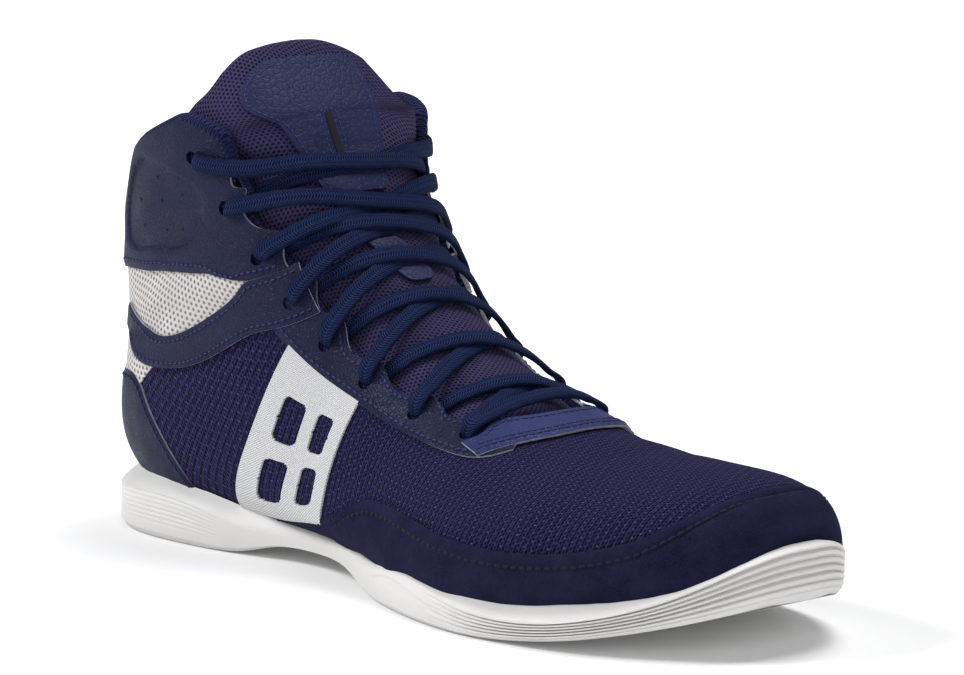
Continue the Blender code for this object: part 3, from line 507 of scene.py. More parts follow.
vamp_cloth = mesh_cloth("vamp mesh", (0.027, 0.022, 0.105), (0.002, 0.001, 0.008), 0.0010, 0.0013,
                        glint_colour=(0.11, 0.095, 0.26), ribs=0.0021, bump=0.0007, sheen=0.03)
tongue_cloth = mesh_cloth("tongue mesh", (0.052, 0.042, 0.125), (0.002, 0.002, 0.010), 0.0014, 0.0016,
                          bump=0.0008, sheen=0.05)
ankle_cloth = mesh_cloth("ankle mesh", (0.62, 0.59, 0.58), (0.16, 0.15, 0.17), 0.0020, 0.0022, bump=0.0004,
                         sheen=0.0)
lining_cloth = mesh_cloth("lining knit", (0.012, 0.016, 0.085), (0.003, 0.004, 0.018), 0.0009, 0.0026,
                          ribs=0.0018, bump=0.0006, sheen=0.06)
print("cloths: vamp, tongue, ankle and lining")


# %% Suede, grained synthetic, film, foam and thread
def grained(name, colour, light, roughness=0.5, grain=0.00016, cells=900.0):
    """Synthetic leather: small pebbles with dark cracks between them, and wide patches of a lighter tone."""
    look, shader = new_look(name, colour, roughness, 0.22)
    where = node(look, "TexCoord").outputs["Object"]
    pebble = node(look, "TexVoronoi", feature="DISTANCE_TO_EDGE")
    look.node_tree.links.new(where, pebble.inputs["Vector"])
    pebble.inputs["Scale"].default_value = cells
    crack = spread(look, pebble.outputs["Distance"], 0.0, 0.16, 0.0, 1.0)
    height = maths(look, "MULTIPLY_ADD", noise(look, 260.0, 3.0), 0.6, crack)
    wide = spread(look, noise(look, 45.0, 3.0), 0.35, 0.7, 0.0, 1.0)
    tone = mix_colour(look, wide, colour, light)
    tone = mix_colour(look, spread(look, crack, 0.0, 1.0, 0.35, 0.0), tone,
                      tuple(c * 0.45 for c in colour))
    gloss = spread(look, noise(look, 90.0), 0.3, 0.7, roughness - 0.06, roughness + 0.1)
    return paint(look, shader, tone, gloss, height, grain)


navy_grain = grained("grained navy", (0.007, 0.009, 0.038), (0.013, 0.016, 0.060))
badge_grain = grained("badge navy", (0.012, 0.016, 0.062), (0.020, 0.026, 0.088), cells=460.0, grain=0.00009)
throat_grain = grained("throat blue", (0.024, 0.034, 0.130), (0.032, 0.044, 0.155), roughness=0.45)
midfoot_grain = grained("midfoot blue", (0.018, 0.026, 0.095), (0.026, 0.035, 0.120), roughness=0.45)


def napped(name, colour, light):
    """Suede: short fibres that catch the light at the edge of the form, and lie this way and that."""
    look, shader = new_look(name, colour, 0.95, 0.05, Sheen_Weight=0.07, Sheen_Roughness=0.5,
                            Sheen_Tint=(0.25, 0.27, 0.60, 1))
    stroke = spread(look, noise(look, 110.0, 4.0, 0.6), 0.3, 0.7, 0.0, 1.0)
    fibre = noise(look, 2400.0, 3.0, 0.7)
    tone = mix_colour(look, stroke, colour, light)
    tone = mix_colour(look, spread(look, fibre, 0.40, 0.70, 0.0, 0.5), tone,
                      tuple(c * 1.9 for c in light))
    height = maths(look, "MULTIPLY_ADD", stroke, 0.5, fibre)
    height = maths(look, "MULTIPLY_ADD", noise(look, 85.0, 3.0, 0.55), 4.0, height)
    return paint(look, shader, tone, None, height, 0.00055)


suede = napped("napped navy", (0.009, 0.009, 0.027), (0.019, 0.019, 0.050))

white_film, shader = new_look("white film", (0.66, 0.66, 0.68), 0.42, 0.4)
along, across = cloth_axes(white_film)
hatch = wave(white_film, maths(white_film, "ADD", along, across), 0.0011)
tone = mix_colour(white_film, hatch, (0.50, 0.50, 0.52), (0.74, 0.74, 0.75))
paint(white_film, shader, tone, None, hatch, 0.00018)

thread, shader = new_look("navy thread", (0.026, 0.036, 0.190), 0.6, 0.3)
paint(thread, shader, None, None, noise(thread, 3000.0), 0.0001)
dark_thread, shader = new_look("dark thread", (0.010, 0.010, 0.045), 0.7, 0.2)
paint(dark_thread, shader, None, None, noise(dark_thread, 3000.0), 0.0001)
cut_edge, shader = new_look("cut edge", (0.16, 0.17, 0.26), 0.7, 0.5)
tone = mix_colour(cut_edge, noise(cut_edge, 500.0), (0.20, 0.20, 0.29), (0.55, 0.54, 0.58))
paint(cut_edge, shader, tone, None, noise(cut_edge, 1500.0), 0.0001)
# Painted shade: a near-black look for the ovals under the stitches, the lace slot and the pinholes.
painted_shade, _ = new_look("hole shade", (0.004, 0.004, 0.010), 0.9, 0.5)
foam, shader = new_look("insole cloth", (0.020, 0.022, 0.060), 0.9, 0.1)
along, across = cloth_axes(foam)
paint(foam, shader, None, None, staggered(foam, along, across, 0.001, 0.001), 0.0002)
print("materials:", len(bpy.data.materials))


# %% [markdown]
# ### Lace and rubber
# A flat woven lace has two rows of slanted stitches that meet in the middle like a herringbone. The slant is
# the distance from the middle added to the distance along. The rubber is off-white and gets a little darker,
# in patches, near the ground.

# %% Lace and rubber
# The way round the lace in metres: the herringbone folds four times on it.
LACE_ROUND = 0.0136
lace_cloth, shader = new_look("woven lace", (0.010, 0.024, 0.105), 0.75, 0.12)
along, across = cloth_axes(lace_cloth)
fold = maths(lace_cloth, "PINGPONG", across, LACE_ROUND / 4)
slant = wave(lace_cloth, maths(lace_cloth, "MULTIPLY_ADD", fold, 0.9, along), 0.00095)
strand = wave(lace_cloth, across, LACE_ROUND / 14)
weave = maths(lace_cloth, "MULTIPLY_ADD", strand, 0.35, slant)
tone = mix_colour(lace_cloth, spread(lace_cloth, weave, 0.15, 1.1, 0.0, 1.0),
                  (0.002, 0.004, 0.020), (0.017, 0.038, 0.140))
paint(lace_cloth, shader, tone, None, weave, 0.0006)

rubber, shader = new_look("white rubber", (0.66, 0.65, 0.64), 0.5, 0.35)
height = node(rubber, "SeparateXYZ", node(rubber, "TexCoord").outputs["Object"]).outputs[2]
# Darker in patches towards the floor, over the lowest 10 mm.
near_floor = spread(rubber, height, 0.0, 0.010, 0.35, 0.0)
low_darkening = maths(rubber, "MULTIPLY", near_floor, noise(rubber, 120.0, 4.0, 0.6))
tone = mix_colour(rubber, low_darkening, (0.70, 0.69, 0.68), (0.46, 0.44, 0.42))
gloss = spread(rubber, noise(rubber, 200.0), 0.3, 0.7, 0.42, 0.58)
paint(rubber, shader, tone, gloss, noise(rubber, 900.0, 3.0), 0.00006)
print("lace and rubber ready")

# %% [markdown]
# ## How a pattern piece is made
# lasted() adds a flat grid, which is the cut piece lying on the table, and moves its points onto the last.
# The distances along and across the cloth go into a UV map in metres. give_wall() then adds thickness with
# Solidify, rounds the rim with Bevel and applies both. The rim can have its own material: a cut edge of
# synthetic is paler than its face.


# %% Points, pattern map and placing
def points_of(piece):
    """The places of a piece's points as rows of x, y and z."""
    flat = np.empty(len(piece.data.vertices) * 3)
    piece.data.vertices.foreach_get("co", flat)
    return flat.reshape(-1, 3)


def place_points(piece, points):
    """Moves a piece's points to the given places."""
    piece.data.vertices.foreach_set("co", np.asarray(points, float).ravel())
    piece.data.update()


def write_pattern(piece, along, across):
    """Writes the UV map in metres from each point's distances along and across the cloth."""
    layer = piece.data.uv_layers.active
    layer.name = "pattern"
    corner = np.empty(len(piece.data.loops), np.int32)
    piece.data.loops.foreach_get("vertex_index", corner)
    layer.data.foreach_set("uv", np.stack([along, across], axis=-1)[corner].ravel())


def pattern_map(piece, grid):
    """A UV map in metres: along the middle row, and across each column from its middle."""
    along = way_along(grid[len(grid) // 2])
    across = np.linalg.norm(np.diff(grid, axis=0), axis=2)
    across = np.concatenate([np.zeros((1, grid.shape[1])), np.cumsum(across, axis=0)])
    across -= across[len(grid) // 2]
    write_pattern(piece, np.broadcast_to(along, across.shape).ravel(), across.ravel())


def flat_grid(name, columns, rows):
    """A flat pattern piece and the two shares, 0 to 1, of each of its points."""
    bpy.ops.mesh.primitive_grid_add(x_subdivisions=columns, y_subdivisions=rows, size=1)
    piece = bpy.context.object
    piece.name = name
    piece.data.name = name
    shares = points_of(piece)[:, :2] + 0.5
    return piece, shares[:, 0], shares[:, 1]


def face_along(piece, out):
    """Turns the faces so that the point normals agree with the outward directions."""
    normals = np.array([v.normal for v in piece.data.vertices])
    if (normals * out).sum() < 0:
        piece.data.flip_normals()


def lay(piece, s, t, place, columns, rows):
    """Moves the points of a flat grid onto the last and maps its cloth: place(s, t) gives u, v and lift."""
    u, v, lift = place(s, t)
    points = skin(u, v, lift)
    place_points(piece, points)
    face_along(piece, out_of(u, v, lift))
    pattern_map(piece, points.reshape(rows + 1, columns + 1, 3))
    return u


def add_looks(piece, *looks):
    """Gives a piece its materials: its face first, then its inside or its rim."""
    for look in looks:
        piece.data.materials.append(look)


def lasted(name, columns, rows, place, *looks):
    """A flat grid pulled onto the last."""
    piece, s, t = flat_grid(name, columns, rows)
    lay(piece, s, t, place, columns, rows)
    add_looks(piece, *looks)
    return piece


print("grids and pattern maps ready")


# %% Selecting, deleting, applying and smoothing
def select_only(*pieces):
    """Selects the given pieces and nothing else; the first becomes the active one."""
    bpy.ops.object.select_all(action="DESELECT")
    for piece in pieces:
        piece.select_set(True)
    bpy.context.view_layer.objects.active = pieces[0]


def face_middles(piece):
    """The shares, 0 to 1, of the middle of each face of a flat grid."""
    return np.array([face.center for face in piece.data.polygons])[:, :2] + 0.5


def delete_faces(piece, chosen):
    """Deletes the chosen faces, which leaves a real opening."""
    select_only(piece)
    bpy.ops.object.mode_set(mode="EDIT")
    bpy.ops.mesh.select_all(action="DESELECT")
    bpy.ops.object.mode_set(mode="OBJECT")
    for face, wanted in zip(piece.data.polygons, chosen):
        face.select = bool(wanted)
    bpy.ops.object.mode_set(mode="EDIT")
    bpy.ops.mesh.delete(type="FACE")
    bpy.ops.object.mode_set(mode="OBJECT")


def apply_all(piece):
    """Applies all modifiers of a piece in their order."""
    select_only(piece)
    for name in [m.name for m in piece.modifiers]:
        bpy.ops.object.modifier_apply(modifier=name)


def merge_close(piece, distance=0.00002):
    select_only(piece)
    bpy.ops.object.mode_set(mode="EDIT")
    bpy.ops.mesh.select_all(action="SELECT")
    bpy.ops.mesh.remove_doubles(threshold=distance)
    bpy.ops.object.mode_set(mode="OBJECT")


def smooth(piece, degrees=40.0):
    select_only(piece)
    bpy.ops.object.shade_smooth_by_angle(angle=math.radians(degrees))


def give_wall(piece, thickness, offset=1.0, inside=0, rim=0, bevel=0.0003):
    """Thickens a piece outwards (offset 1) or inwards (-1); inside and rim pick its looks there."""
    wall = piece.modifiers.new("Wall", "SOLIDIFY")
    wall.thickness = thickness
    wall.offset = offset
    wall.material_offset = inside
    wall.material_offset_rim = rim
    if bevel:
        rounded = piece.modifiers.new("Rounded rim", "BEVEL")
        rounded.width = bevel
        rounded.segments = 2
        rounded.limit_method = "ANGLE"
        rounded.angle_limit = math.radians(55)
        rounded.use_clamp_overlap = True
    apply_all(piece)
    smooth(piece)


def keep(piece, slot, *nodes):
    """Rides the finished piece on the shoe and says which CAD nodes it stands for; slot, the name of its
    finish, is not used.
    """
    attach(piece, "root")
    if nodes:
        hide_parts(*nodes)
    print(piece.name, len(piece.data.polygons), "faces")
    return piece


print("walls and finishing ready")


# %% Edges, bands between two edges and seams
def along_edge(edge, share):
    """Points at the given shares of a smooth (u, v) edge."""
    edge = np.asarray(edge, float)
    return spline(np.linspace(0, 1, len(edge)), edge, np.asarray(share, float))


def band(low, top, lift):
    """A place function for the piece between two edges; lift is a number or a function of s and t."""
    def place(s, t):
        uv = along_edge(low, s) * (1 - t)[:, None] + along_edge(top, s) * t[:, None]
        return uv[:, 0], uv[:, 1], (lift(s, t) if callable(lift) else lift + 0 * t)
    return place


def other_side(edge):
    """The same edge on the inner side of the shoe, or back on the outer one."""
    return [(u, -v) for u, v in edge]


def whole(half):
    """A half edge and its mirror as one edge; the half's last place is the middle."""
    return list(half) + other_side(half)[-2::-1]


def round_heel(half):
    """A half edge from the front round to the heel at v = -1, and on along the inner side."""
    return list(half) + [(u, -2 - v) for u, v in half][-2::-1]


def inset(place, distance, from_top=True, start=0.0, stop=1.0, count=200):
    """The (u, v) path that runs a distance inside a piece's top or low edge."""
    s = np.linspace(start, stop, count)
    t = np.linspace(0, 1, 41)
    long, wide = np.meshgrid(s, t, indexing="ij")
    grid = skin(*place(long.ravel(), wide.ravel())).reshape(count, len(t), 3)
    ways = np.array([way_along(line) for line in grid])
    wanted = ways[:, -1] - distance if from_top else np.full(count, distance)
    at = np.array([np.interp(w, way, t) for w, way in zip(wanted, ways)])
    u, v, _ = place(s, at)
    return np.stack([u, v], axis=-1)


# Each row of stitches is noted here. It is sewn twice: a row of dark ovals, which are painted shade of the
# dents and needle holes round the stitches, and the thread that lies in them.
STITCHES = []


def fine_path(path):
    """A (u, v) path with six times as many places."""
    path = np.asarray(path, float)
    at = np.linspace(0, 1, 6 * len(path))
    return sample(at, np.linspace(0, 1, len(path)), path).T


def seam(path, lift, pitch=0.0026, length=0.0019, width=0.0006):
    """Notes a row of stitches along a (u, v) path, at a height over the last."""
    u, v = fine_path(path)
    line = skin(u, v, lift)
    way = way_along(line)
    spots = np.arange(pitch / 2, way[-1], pitch)
    ahead = unit(sample(spots + 0.0004, way, line) - sample(spots - 0.0004, way, line))
    normal = unit(sample(spots, way, out_of(u, v, lift)))
    side = unit(np.cross(normal, ahead))
    STITCHES.append((sample(spots, way, line), ahead * length, side * width, normal * width * 0.8))


def sew(name, look, slot, longer=1.0, wider=1.0, lower=0.0, forget=True):
    """Makes one small stitch and joins a copy of it at every place noted so far."""
    bpy.ops.mesh.primitive_uv_sphere_add(segments=8, ring_count=5, radius=0.5)
    piece = bpy.context.object
    piece.name = name
    x, y, z = points_of(piece).T[:, None, :, None]
    faces = [tuple(p.vertices) for p in piece.data.polygons]
    centre, ahead, side, normal = (np.concatenate(rows)[:, None] for rows in zip(*STITCHES))
    points = centre - normal * lower + x * ahead * longer + y * side * wider + z * normal
    step = points.shape[1]
    many = [tuple(k + n * step for k in face) for n in range(len(centre)) for face in faces]
    piece.data = bpy.data.meshes.new(name)
    piece.data.from_pydata(points.reshape(-1, 3).tolist(), [], many)
    piece.data.materials.append(look)
    smooth(piece, 80)
    if forget:
        STITCHES.clear()
    return keep(piece, slot)


print("pattern helpers ready")

# %% [markdown]
# ## The lines of the upper
# The throat is the opening under the laces, and the feather is the edge that is turned in under the foot.
# The cuff's lower edge and the collar give u along |v|. Each line is averaged a little, which rounds the
# corners between its places.

# %% Lines of the upper
THROAT = ((0.346, 0.000), (0.353, 0.105), (0.367, 0.155), (0.392, 0.195), (0.430, 0.213), (0.460, 0.232),
          (0.480, 0.238), (0.512, 0.241), (0.551, 0.234), (0.590, 0.216), (0.620, 0.204), (0.645, 0.195),
          (0.668, 0.190), (0.690, 0.190), (0.716, 0.193), (0.740, 0.202), (0.765, 0.216), (0.800, 0.236),
          (0.848, 0.262), (0.903, 0.283), (0.960, 0.310))
FEATHER = ((0.112, 1.000), (0.128, 0.940), (0.160, 0.890), (0.205, 0.860), (0.260, 0.850), (0.480, 0.850),
           (0.551, 0.860), (0.590, 0.870), (0.645, 0.890), (0.668, 0.915), (0.690, 0.965), (0.705, 1.000))
CUFF_V = (0.180, 0.225, 0.262, 0.296, 0.350, 0.438, 0.525, 0.655, 0.720, 0.840, 1.000)
CUFF_U = (0.664, 0.664, 0.682, 0.698, 0.736, 0.774, 0.808, 0.845, 0.860, 0.876, 0.884)
COLLAR_V = (0.270, 0.290, 0.320, 0.360, 0.420, 0.600, 0.800, 1.000)
COLLAR_U = (0.896, 0.915, 0.935, 0.950, 0.962, 0.962, 0.955, 0.950)
EYELET_U = (0.903, 0.790, 0.704, 0.634, 0.570, 0.504, 0.434, 0.370)
EYELET_V = (0.372, 0.287, 0.252, 0.268, 0.290, 0.296, 0.275, 0.236)
THROAT_ROW = THROAT[0][0]
SCALLOP = 0.030
SCALLOP_WIDTH = 0.019
EDGE_REACH = 0.02


def soft(at, knots, values, reach):
    """A line through knots, averaged over a reach on both sides."""
    return np.mean([np.interp(at + d, knots, values) for d in np.linspace(-reach, reach, 7)], axis=0)


def throat(u):
    """|v| of the edge of the opening under the laces."""
    knots, values = zip(*THROAT)
    return np.where(u < 0.375, np.interp(u, knots, values), soft(u, knots, values, 0.008))


def beside_laces(u):
    """1 along the lacing, fading to 0 at the vamp and below the collar."""
    return ramp(u - 0.36, 0.03) * ramp(0.86 - u, 0.05)


def throat_edge(u):
    """The edge of the eyestays: it bulges at each eyelet and is cut in between."""
    bulge = np.max([bell(u - eyelet, SCALLOP_WIDTH) for eyelet in EYELET_U], axis=0)
    return throat(u) + SCALLOP * (1 - bulge) * beside_laces(u)


def feather(u):
    """|v| of the edge that is turned in under the foot."""
    knots, values = zip(*FEATHER)
    return np.interp(u, knots, values)


def settle(k, edge_v, edge_u, front=throat):
    """u where the line at share k, from the throat (0) to the heel (1), meets an edge."""
    # v depends on u and u on v, so we start somewhere and go half of the way again and again.
    u = 0.8 + 0.0 * k
    for _ in range(60):
        v = front(u) * (1 - k) + k
        u = u + 0.5 * (soft(v, edge_v, edge_u, EDGE_REACH) - u)
    return u


print("eyelets a side:", len(EYELET_U))

# %% [markdown]
# ## The upper
# One grid covers the whole upper. Its columns run from the outer feather over the ridge to the inner feather,
# and its rows from the toe to the collar. The middle column is the throat: in front of it the two sides
# touch and are merged, behind it the faces are deleted, so the opening is a real one. Solidify grows the
# 2 mm wall inwards and gives its inside the lining.

# %% The upper with its lining
HALF = 72
COLUMNS = 2 * HALF + 1
ROWS = 190
FRONT_ROWS = 74
UNDER_STAYS = 0.020


def upper_place(s, t):
    """k is the share of the way from the throat (0) to the feather (1) on each side."""
    column = np.rint(s * COLUMNS).astype(int)
    side = np.where(column <= HALF, -1.0, 1.0)
    k = np.where(column <= HALF, HALF - column, column - HALF - 1) / HALF
    row = np.rint(t * ROWS)
    collar = settle(k, COLLAR_V, COLLAR_U)
    ahead = ramp(row - FRONT_ROWS, ROWS - FRONT_ROWS)
    u = np.where(row <= FRONT_ROWS, THROAT_ROW * row / FRONT_ROWS, THROAT_ROW + (collar - THROAT_ROW) * ahead)
    front = np.where(u < THROAT_ROW, 0.0, throat(u) + UNDER_STAYS * beside_laces(u))
    v = front * (1 - k) + feather(u) * k
    return u, side * v, 0.0 * u


upper, s, t = flat_grid("upper", COLUMNS, ROWS)
middle = face_middles(upper)
opening = (np.abs(middle[:, 0] - 0.5) < 0.5 / COLUMNS) & (middle[:, 1] > FRONT_ROWS / ROWS)
u, v, lift = upper_place(s, t)
points = skin(u, v, lift)
place_points(upper, points)
face_along(upper, out_of(u, v, lift))
# The cloth's map: along is the way from the toe, across the distance from the ridge.
ridge_way = way_along(SKIN_POINTS[:, HALF_POINTS - 1])
along = np.interp(u, np.linspace(0, 1, SECTIONS), ridge_way)
across = np.linalg.norm(points - skin(u, 0.0 * v), axis=1) * np.sign(v)
write_pattern(upper, along, across)
delete_faces(upper, opening)
merge_close(upper, 0.00005)
add_looks(upper, vamp_cloth, lining_cloth)
give_wall(upper, 0.0020, offset=-1.0, inside=1, rim=1, bevel=0.0)
keep(upper, "vamp_mesh", "upper")

# %% [markdown]
# ## The toe rand
# The suede rand wraps the toe and protects it on the mat. It is one long band: its low edge is tucked into
# the sole and its top edge rises round the toe cap. A trough 4 mm inside the top edge is where the seam pulls
# the suede down, and the surface is a little fuller between the seam and the sole.

# %% Toe rand
RAND_TOP = ((0.484, -0.640), (0.460, -0.568), (0.439, -0.521), (0.419, -0.494), (0.390, -0.476),
            (0.357, -0.468), (0.305, -0.470), (0.257, -0.474), (0.212, -0.471), (0.172, -0.456),
            (0.142, -0.427), (0.121, -0.372), (0.107, -0.290), (0.100, -0.195), (0.097, -0.098), (0.096, 0.0))
RAND_LOW = ((0.484, -0.822), (0.460, -0.820), (0.435, -0.820), (0.410, -0.820), (0.380, -0.820),
            (0.345, -0.820), (0.292, -0.820), (0.240, -0.818), (0.195, -0.815), (0.150, -0.810),
            (0.108, -0.800), (0.072, -0.780), (0.042, -0.720), (0.024, -0.600), (0.014, -0.350), (0.012, 0.0))
RAND_THICK = 0.0011
RAND_WIDTH = 0.036
RAND_SEAM = 0.0042
RAND_LOW_SEAM = 0.0290


def rand_lift(s, t):
    """Troughs at both seams, a pressed top edge and a low edge tucked in, more so at the toe's tip."""
    from_top = (1 - t) * RAND_WIDTH
    pulled = -0.00055 * bell(from_top - RAND_SEAM, 0.0013)
    pulled -= 0.00040 * bell(from_top - RAND_WIDTH * 0.80, 0.0015)
    pressed = -0.00045 * bell(from_top, 0.0012)
    tucked = -0.0012 * ramp(0.16 - t, 0.16)
    tucked -= 0.0011 * ramp(0.34 - t, 0.10) * bell(s - 0.5, 0.10)
    return pulled + pressed + tucked + 0.0004 * np.sin(np.pi * np.clip(t, 0, 1)) ** 2


rand_place = band(whole(RAND_LOW), whole(RAND_TOP), rand_lift)
toe_rand = lasted("toe_rand", 320, 40, rand_place, suede, cut_edge)
give_wall(toe_rand, RAND_THICK)
keep(toe_rand, "napped_rand", "toe_rand")
seam(inset(rand_place, RAND_SEAM, start=0.005, stop=0.995, count=400), RAND_THICK - 0.0001,
     pitch=0.0030, length=0.0021)
seam(inset(rand_place, RAND_LOW_SEAM, start=0.05, stop=0.95, count=400), RAND_THICK + 0.0001,
     pitch=0.0034, length=0.0022, width=0.0005)

# %% [markdown]
# ## Side bands and heel counter
# Behind the rand a thin band runs along the waist to the heel counter, a stiff cup round the heel. The
# counter is one piece from side to side: its edges go on past v = -1, which is the middle of the heel.

# %% Side bands and heel counter
BAND_TOP = ((0.474, -0.600), (0.509, -0.674), (0.551, -0.738),
            (0.591, -0.793), (0.620, -0.818), (0.652, -0.835))
BAND_LOW = ((0.474, -0.822), (0.509, -0.826), (0.551, -0.832),
            (0.591, -0.845), (0.620, -0.855), (0.652, -0.868))
for turn, node_name in ((list, "side_band_outer"), (other_side, "side_band_inner")):
    band_place = band(turn(BAND_LOW), turn(BAND_TOP), 0.0)
    piece = lasted(node_name, 90, 10, band_place, suede, cut_edge)
    give_wall(piece, 0.0009)
    keep(piece, "napped_rand", node_name)
    seam(inset(band_place, 0.0022, stop=0.9), 0.0010, pitch=0.0030, length=0.0020, width=0.0005)

# The rows noted so far lie on suede, so they are sewn here; all later ones are sewn at the end.
# The dark ovals are painted shade of the dents round the rand's stitches.
sew("rand_stitch_shade", painted_shade, "napped_rand", longer=1.35, wider=2.2, lower=0.30, forget=False)
sew("rand_stitches", dark_thread, "napped_rand")

COUNTER_TOP = ((0.646, -0.822), (0.656, -0.778), (0.668, -0.742), (0.686, -0.708),
               (0.708, -0.680), (0.731, -0.664), (0.752, -0.672), (0.772, -0.730),
               (0.791, -0.815), (0.804, -0.905), (0.810, -1.0))
COUNTER_LOW = ((0.634, -0.860), (0.642, -0.862), (0.650, -0.866), (0.660, -0.870),
               (0.671, -0.877), (0.682, -0.886), (0.691, -0.896), (0.700, -0.912),
               (0.708, -0.936), (0.714, -0.966), (0.718, -1.0))
COUNTER_WIDTH = 0.035
counter_place = band(round_heel(COUNTER_LOW), round_heel(COUNTER_TOP),
                     lambda s, t: -0.0004 * bell((1 - t) * COUNTER_WIDTH, 0.0012))
counter = lasted("heel_counter", 200, 36, counter_place, navy_grain, cut_edge)
give_wall(counter, 0.0012, rim=1)
keep(counter, "grained_synthetic", "heel_counter")
seam(inset(counter_place, 0.0024, start=0.03, stop=0.97, count=400), 0.0013, pitch=0.0027)

# %% [markdown]
# ## White ankle mesh
# A soft perforated cloth lets the ankle bend. It runs round the heel under the cuff, and its edges are
# hidden under the cuff, the strap and the counter, so it is cut larger than it shows.

# %% Ankle mesh
ANKLE_LOW = ((0.680, -0.285), (0.692, -0.350), (0.706, -0.430), (0.722, -0.520), (0.738, -0.605),
             (0.743, -0.670), (0.760, -0.730), (0.778, -0.810), (0.792, -0.900), (0.798, -1.0))
ANKLE_TOP = ((0.712, -0.270), (0.748, -0.330), (0.784, -0.410), (0.818, -0.500), (0.846, -0.600),
             (0.862, -0.680), (0.876, -0.750), (0.888, -0.830), (0.895, -0.910), (0.898, -1.0))
ankle_place = band(round_heel(ANKLE_LOW), round_heel(ANKLE_TOP), 0.0)
ankle = lasted("ankle_mesh", 240, 40, ankle_place, ankle_cloth, ankle_cloth)
give_wall(ankle, 0.0005, bevel=0.0)
keep(ankle, "vamp_mesh")

# %% [markdown]
# ## Eyestays, throat piece, straps and cuff
# These carry the eyelets. Their inner edge is scalloped: fuller at each eyelet and cut in between. The rim
# shows the paler inside of the synthetic. The holes are punched with a Boolean of round pegs.

# %% The pegs that punch the eyelets
EYELET_RADIUS = 0.0024
PEG_LENGTH = 0.010


def peg(u, v):
    """A round peg through the last at (u, v)."""
    bpy.ops.mesh.primitive_cylinder_add(vertices=20, radius=EYELET_RADIUS, depth=PEG_LENGTH)
    made = bpy.context.object
    turn = Vector(out_of(u, v)).to_track_quat("Z", "Y").to_matrix().to_4x4()
    made.data.transform(Matrix.Translation(Vector(skin(u, v))) @ turn)
    return made


def punch(piece, spots):
    """Cuts round holes at (u, v) spots through a piece."""
    pegs = [peg(u, v) for u, v in spots]
    select_only(*pegs)
    if len(pegs) > 1:
        bpy.ops.object.join()
    cutter = pegs[0]
    hole = piece.modifiers.new("Eyelets", "BOOLEAN")
    hole.operation = "DIFFERENCE"
    hole.solver = "EXACT"
    hole.object = cutter
    apply_all(piece)
    bpy.data.objects.remove(cutter, do_unlink=True)
    smooth(piece)


print("eyelet radius", EYELET_RADIUS)

# %% Eyestays
STAY = ((0.322, -0.205), (0.333, -0.252), (0.354, -0.283), (0.392, -0.304), (0.446, -0.329), (0.506, -0.346),
        (0.566, -0.353), (0.600, -0.347), (0.625, -0.338), (0.650, -0.325))
STAY_THICK = 0.0012
STAY_START = 0.350
STAY_END = 0.650
STAY_WIDTH = 0.014
# The first three eyelets from the top are on the cuff, the next one on the strap, the others on the stay.
ON_STRAP = 3
FIRST_ON_STAY = 4


def stay_share(u):
    """The share along the eyestay's near edge at u."""
    return (u - STAY_START) / (STAY_END - STAY_START)


def stay_place(side):
    """The place function of the eyestay on one side: from the scalloped near edge to the far one."""
    def place(s, t):
        far = along_edge(STAY, s)
        near_u = STAY_START + (STAY_END - STAY_START) * s
        near = np.stack([near_u, -throat_edge(near_u)], axis=-1)
        uv = near * (1 - t)[:, None] + far * t[:, None]
        pressed = -0.0005 * bell((1 - t) * STAY_WIDTH, 0.0011) - 0.0003 * bell(t * STAY_WIDTH, 0.0010)
        return uv[:, 0], side * -uv[:, 1], pressed
    return place


for side, name in ((-1, "outer"), (1, "inner")):
    place = stay_place(side)
    stay = lasted(f"eyestay_{name}", 200, 22, place, navy_grain, cut_edge)
    give_wall(stay, STAY_THICK, rim=1)
    punch(stay, [(u, side * v) for u, v in zip(EYELET_U[FIRST_ON_STAY:], EYELET_V[FIRST_ON_STAY:])])
    keep(stay, "grained_synthetic", f"eyestay_{name}")
    seam(inset(place, 0.0026, start=0.02, stop=0.98, count=300), STAY_THICK + 0.0001)
    for upper_hole, lower_hole in zip(EYELET_U[FIRST_ON_STAY:-1], EYELET_U[FIRST_ON_STAY + 1:]):
        path = inset(place, 0.0022, False, stay_share(lower_hole + 0.011), stay_share(upper_hole - 0.011), 60)
        seam(path, STAY_THICK + 0.0001, pitch=0.0022, length=0.0016)

# %% [markdown]
# The throat piece is a crescent of smoother blue synthetic that holds both ends of the opening together. It
# is a band between two arched edges, and three rows of stitches hold it to the vamp.

# %% Throat piece
THROAT_TOP = ((0.365, -0.262), (0.358, -0.215), (0.3625, -0.165),
              (0.3530, -0.100), (0.3480, -0.045), (0.3470, 0.0))
THROAT_LOW = ((0.340, -0.268), (0.333, -0.232), (0.322, -0.172),
              (0.3130, -0.105), (0.3095, -0.050), (0.3090, 0.0))
throat_place = band(whole(THROAT_LOW), whole(THROAT_TOP),
                    lambda s, t: 0.0009 - 0.0005 * bell(t * STAY_WIDTH, 0.0011))
throat_piece = lasted("throat_piece", 110, 18, throat_place, throat_grain, cut_edge)
give_wall(throat_piece, 0.0011, rim=1)
keep(throat_piece, "grained_synthetic", "throat_piece")
# Two rows along the low edge and one along the top edge.
for distance, from_top, start in ((0.0022, False, 0.02), (0.0042, False, 0.05), (0.0020, True, 0.10)):
    seam(inset(throat_place, distance, from_top, start, 1 - start), 0.0021, pitch=0.0025)

# %% [markdown]
# Each ankle strap pulls the heel back into the shoe. The two are one shape and its mirror, so a loop makes
# them, and both long edges are stitched.

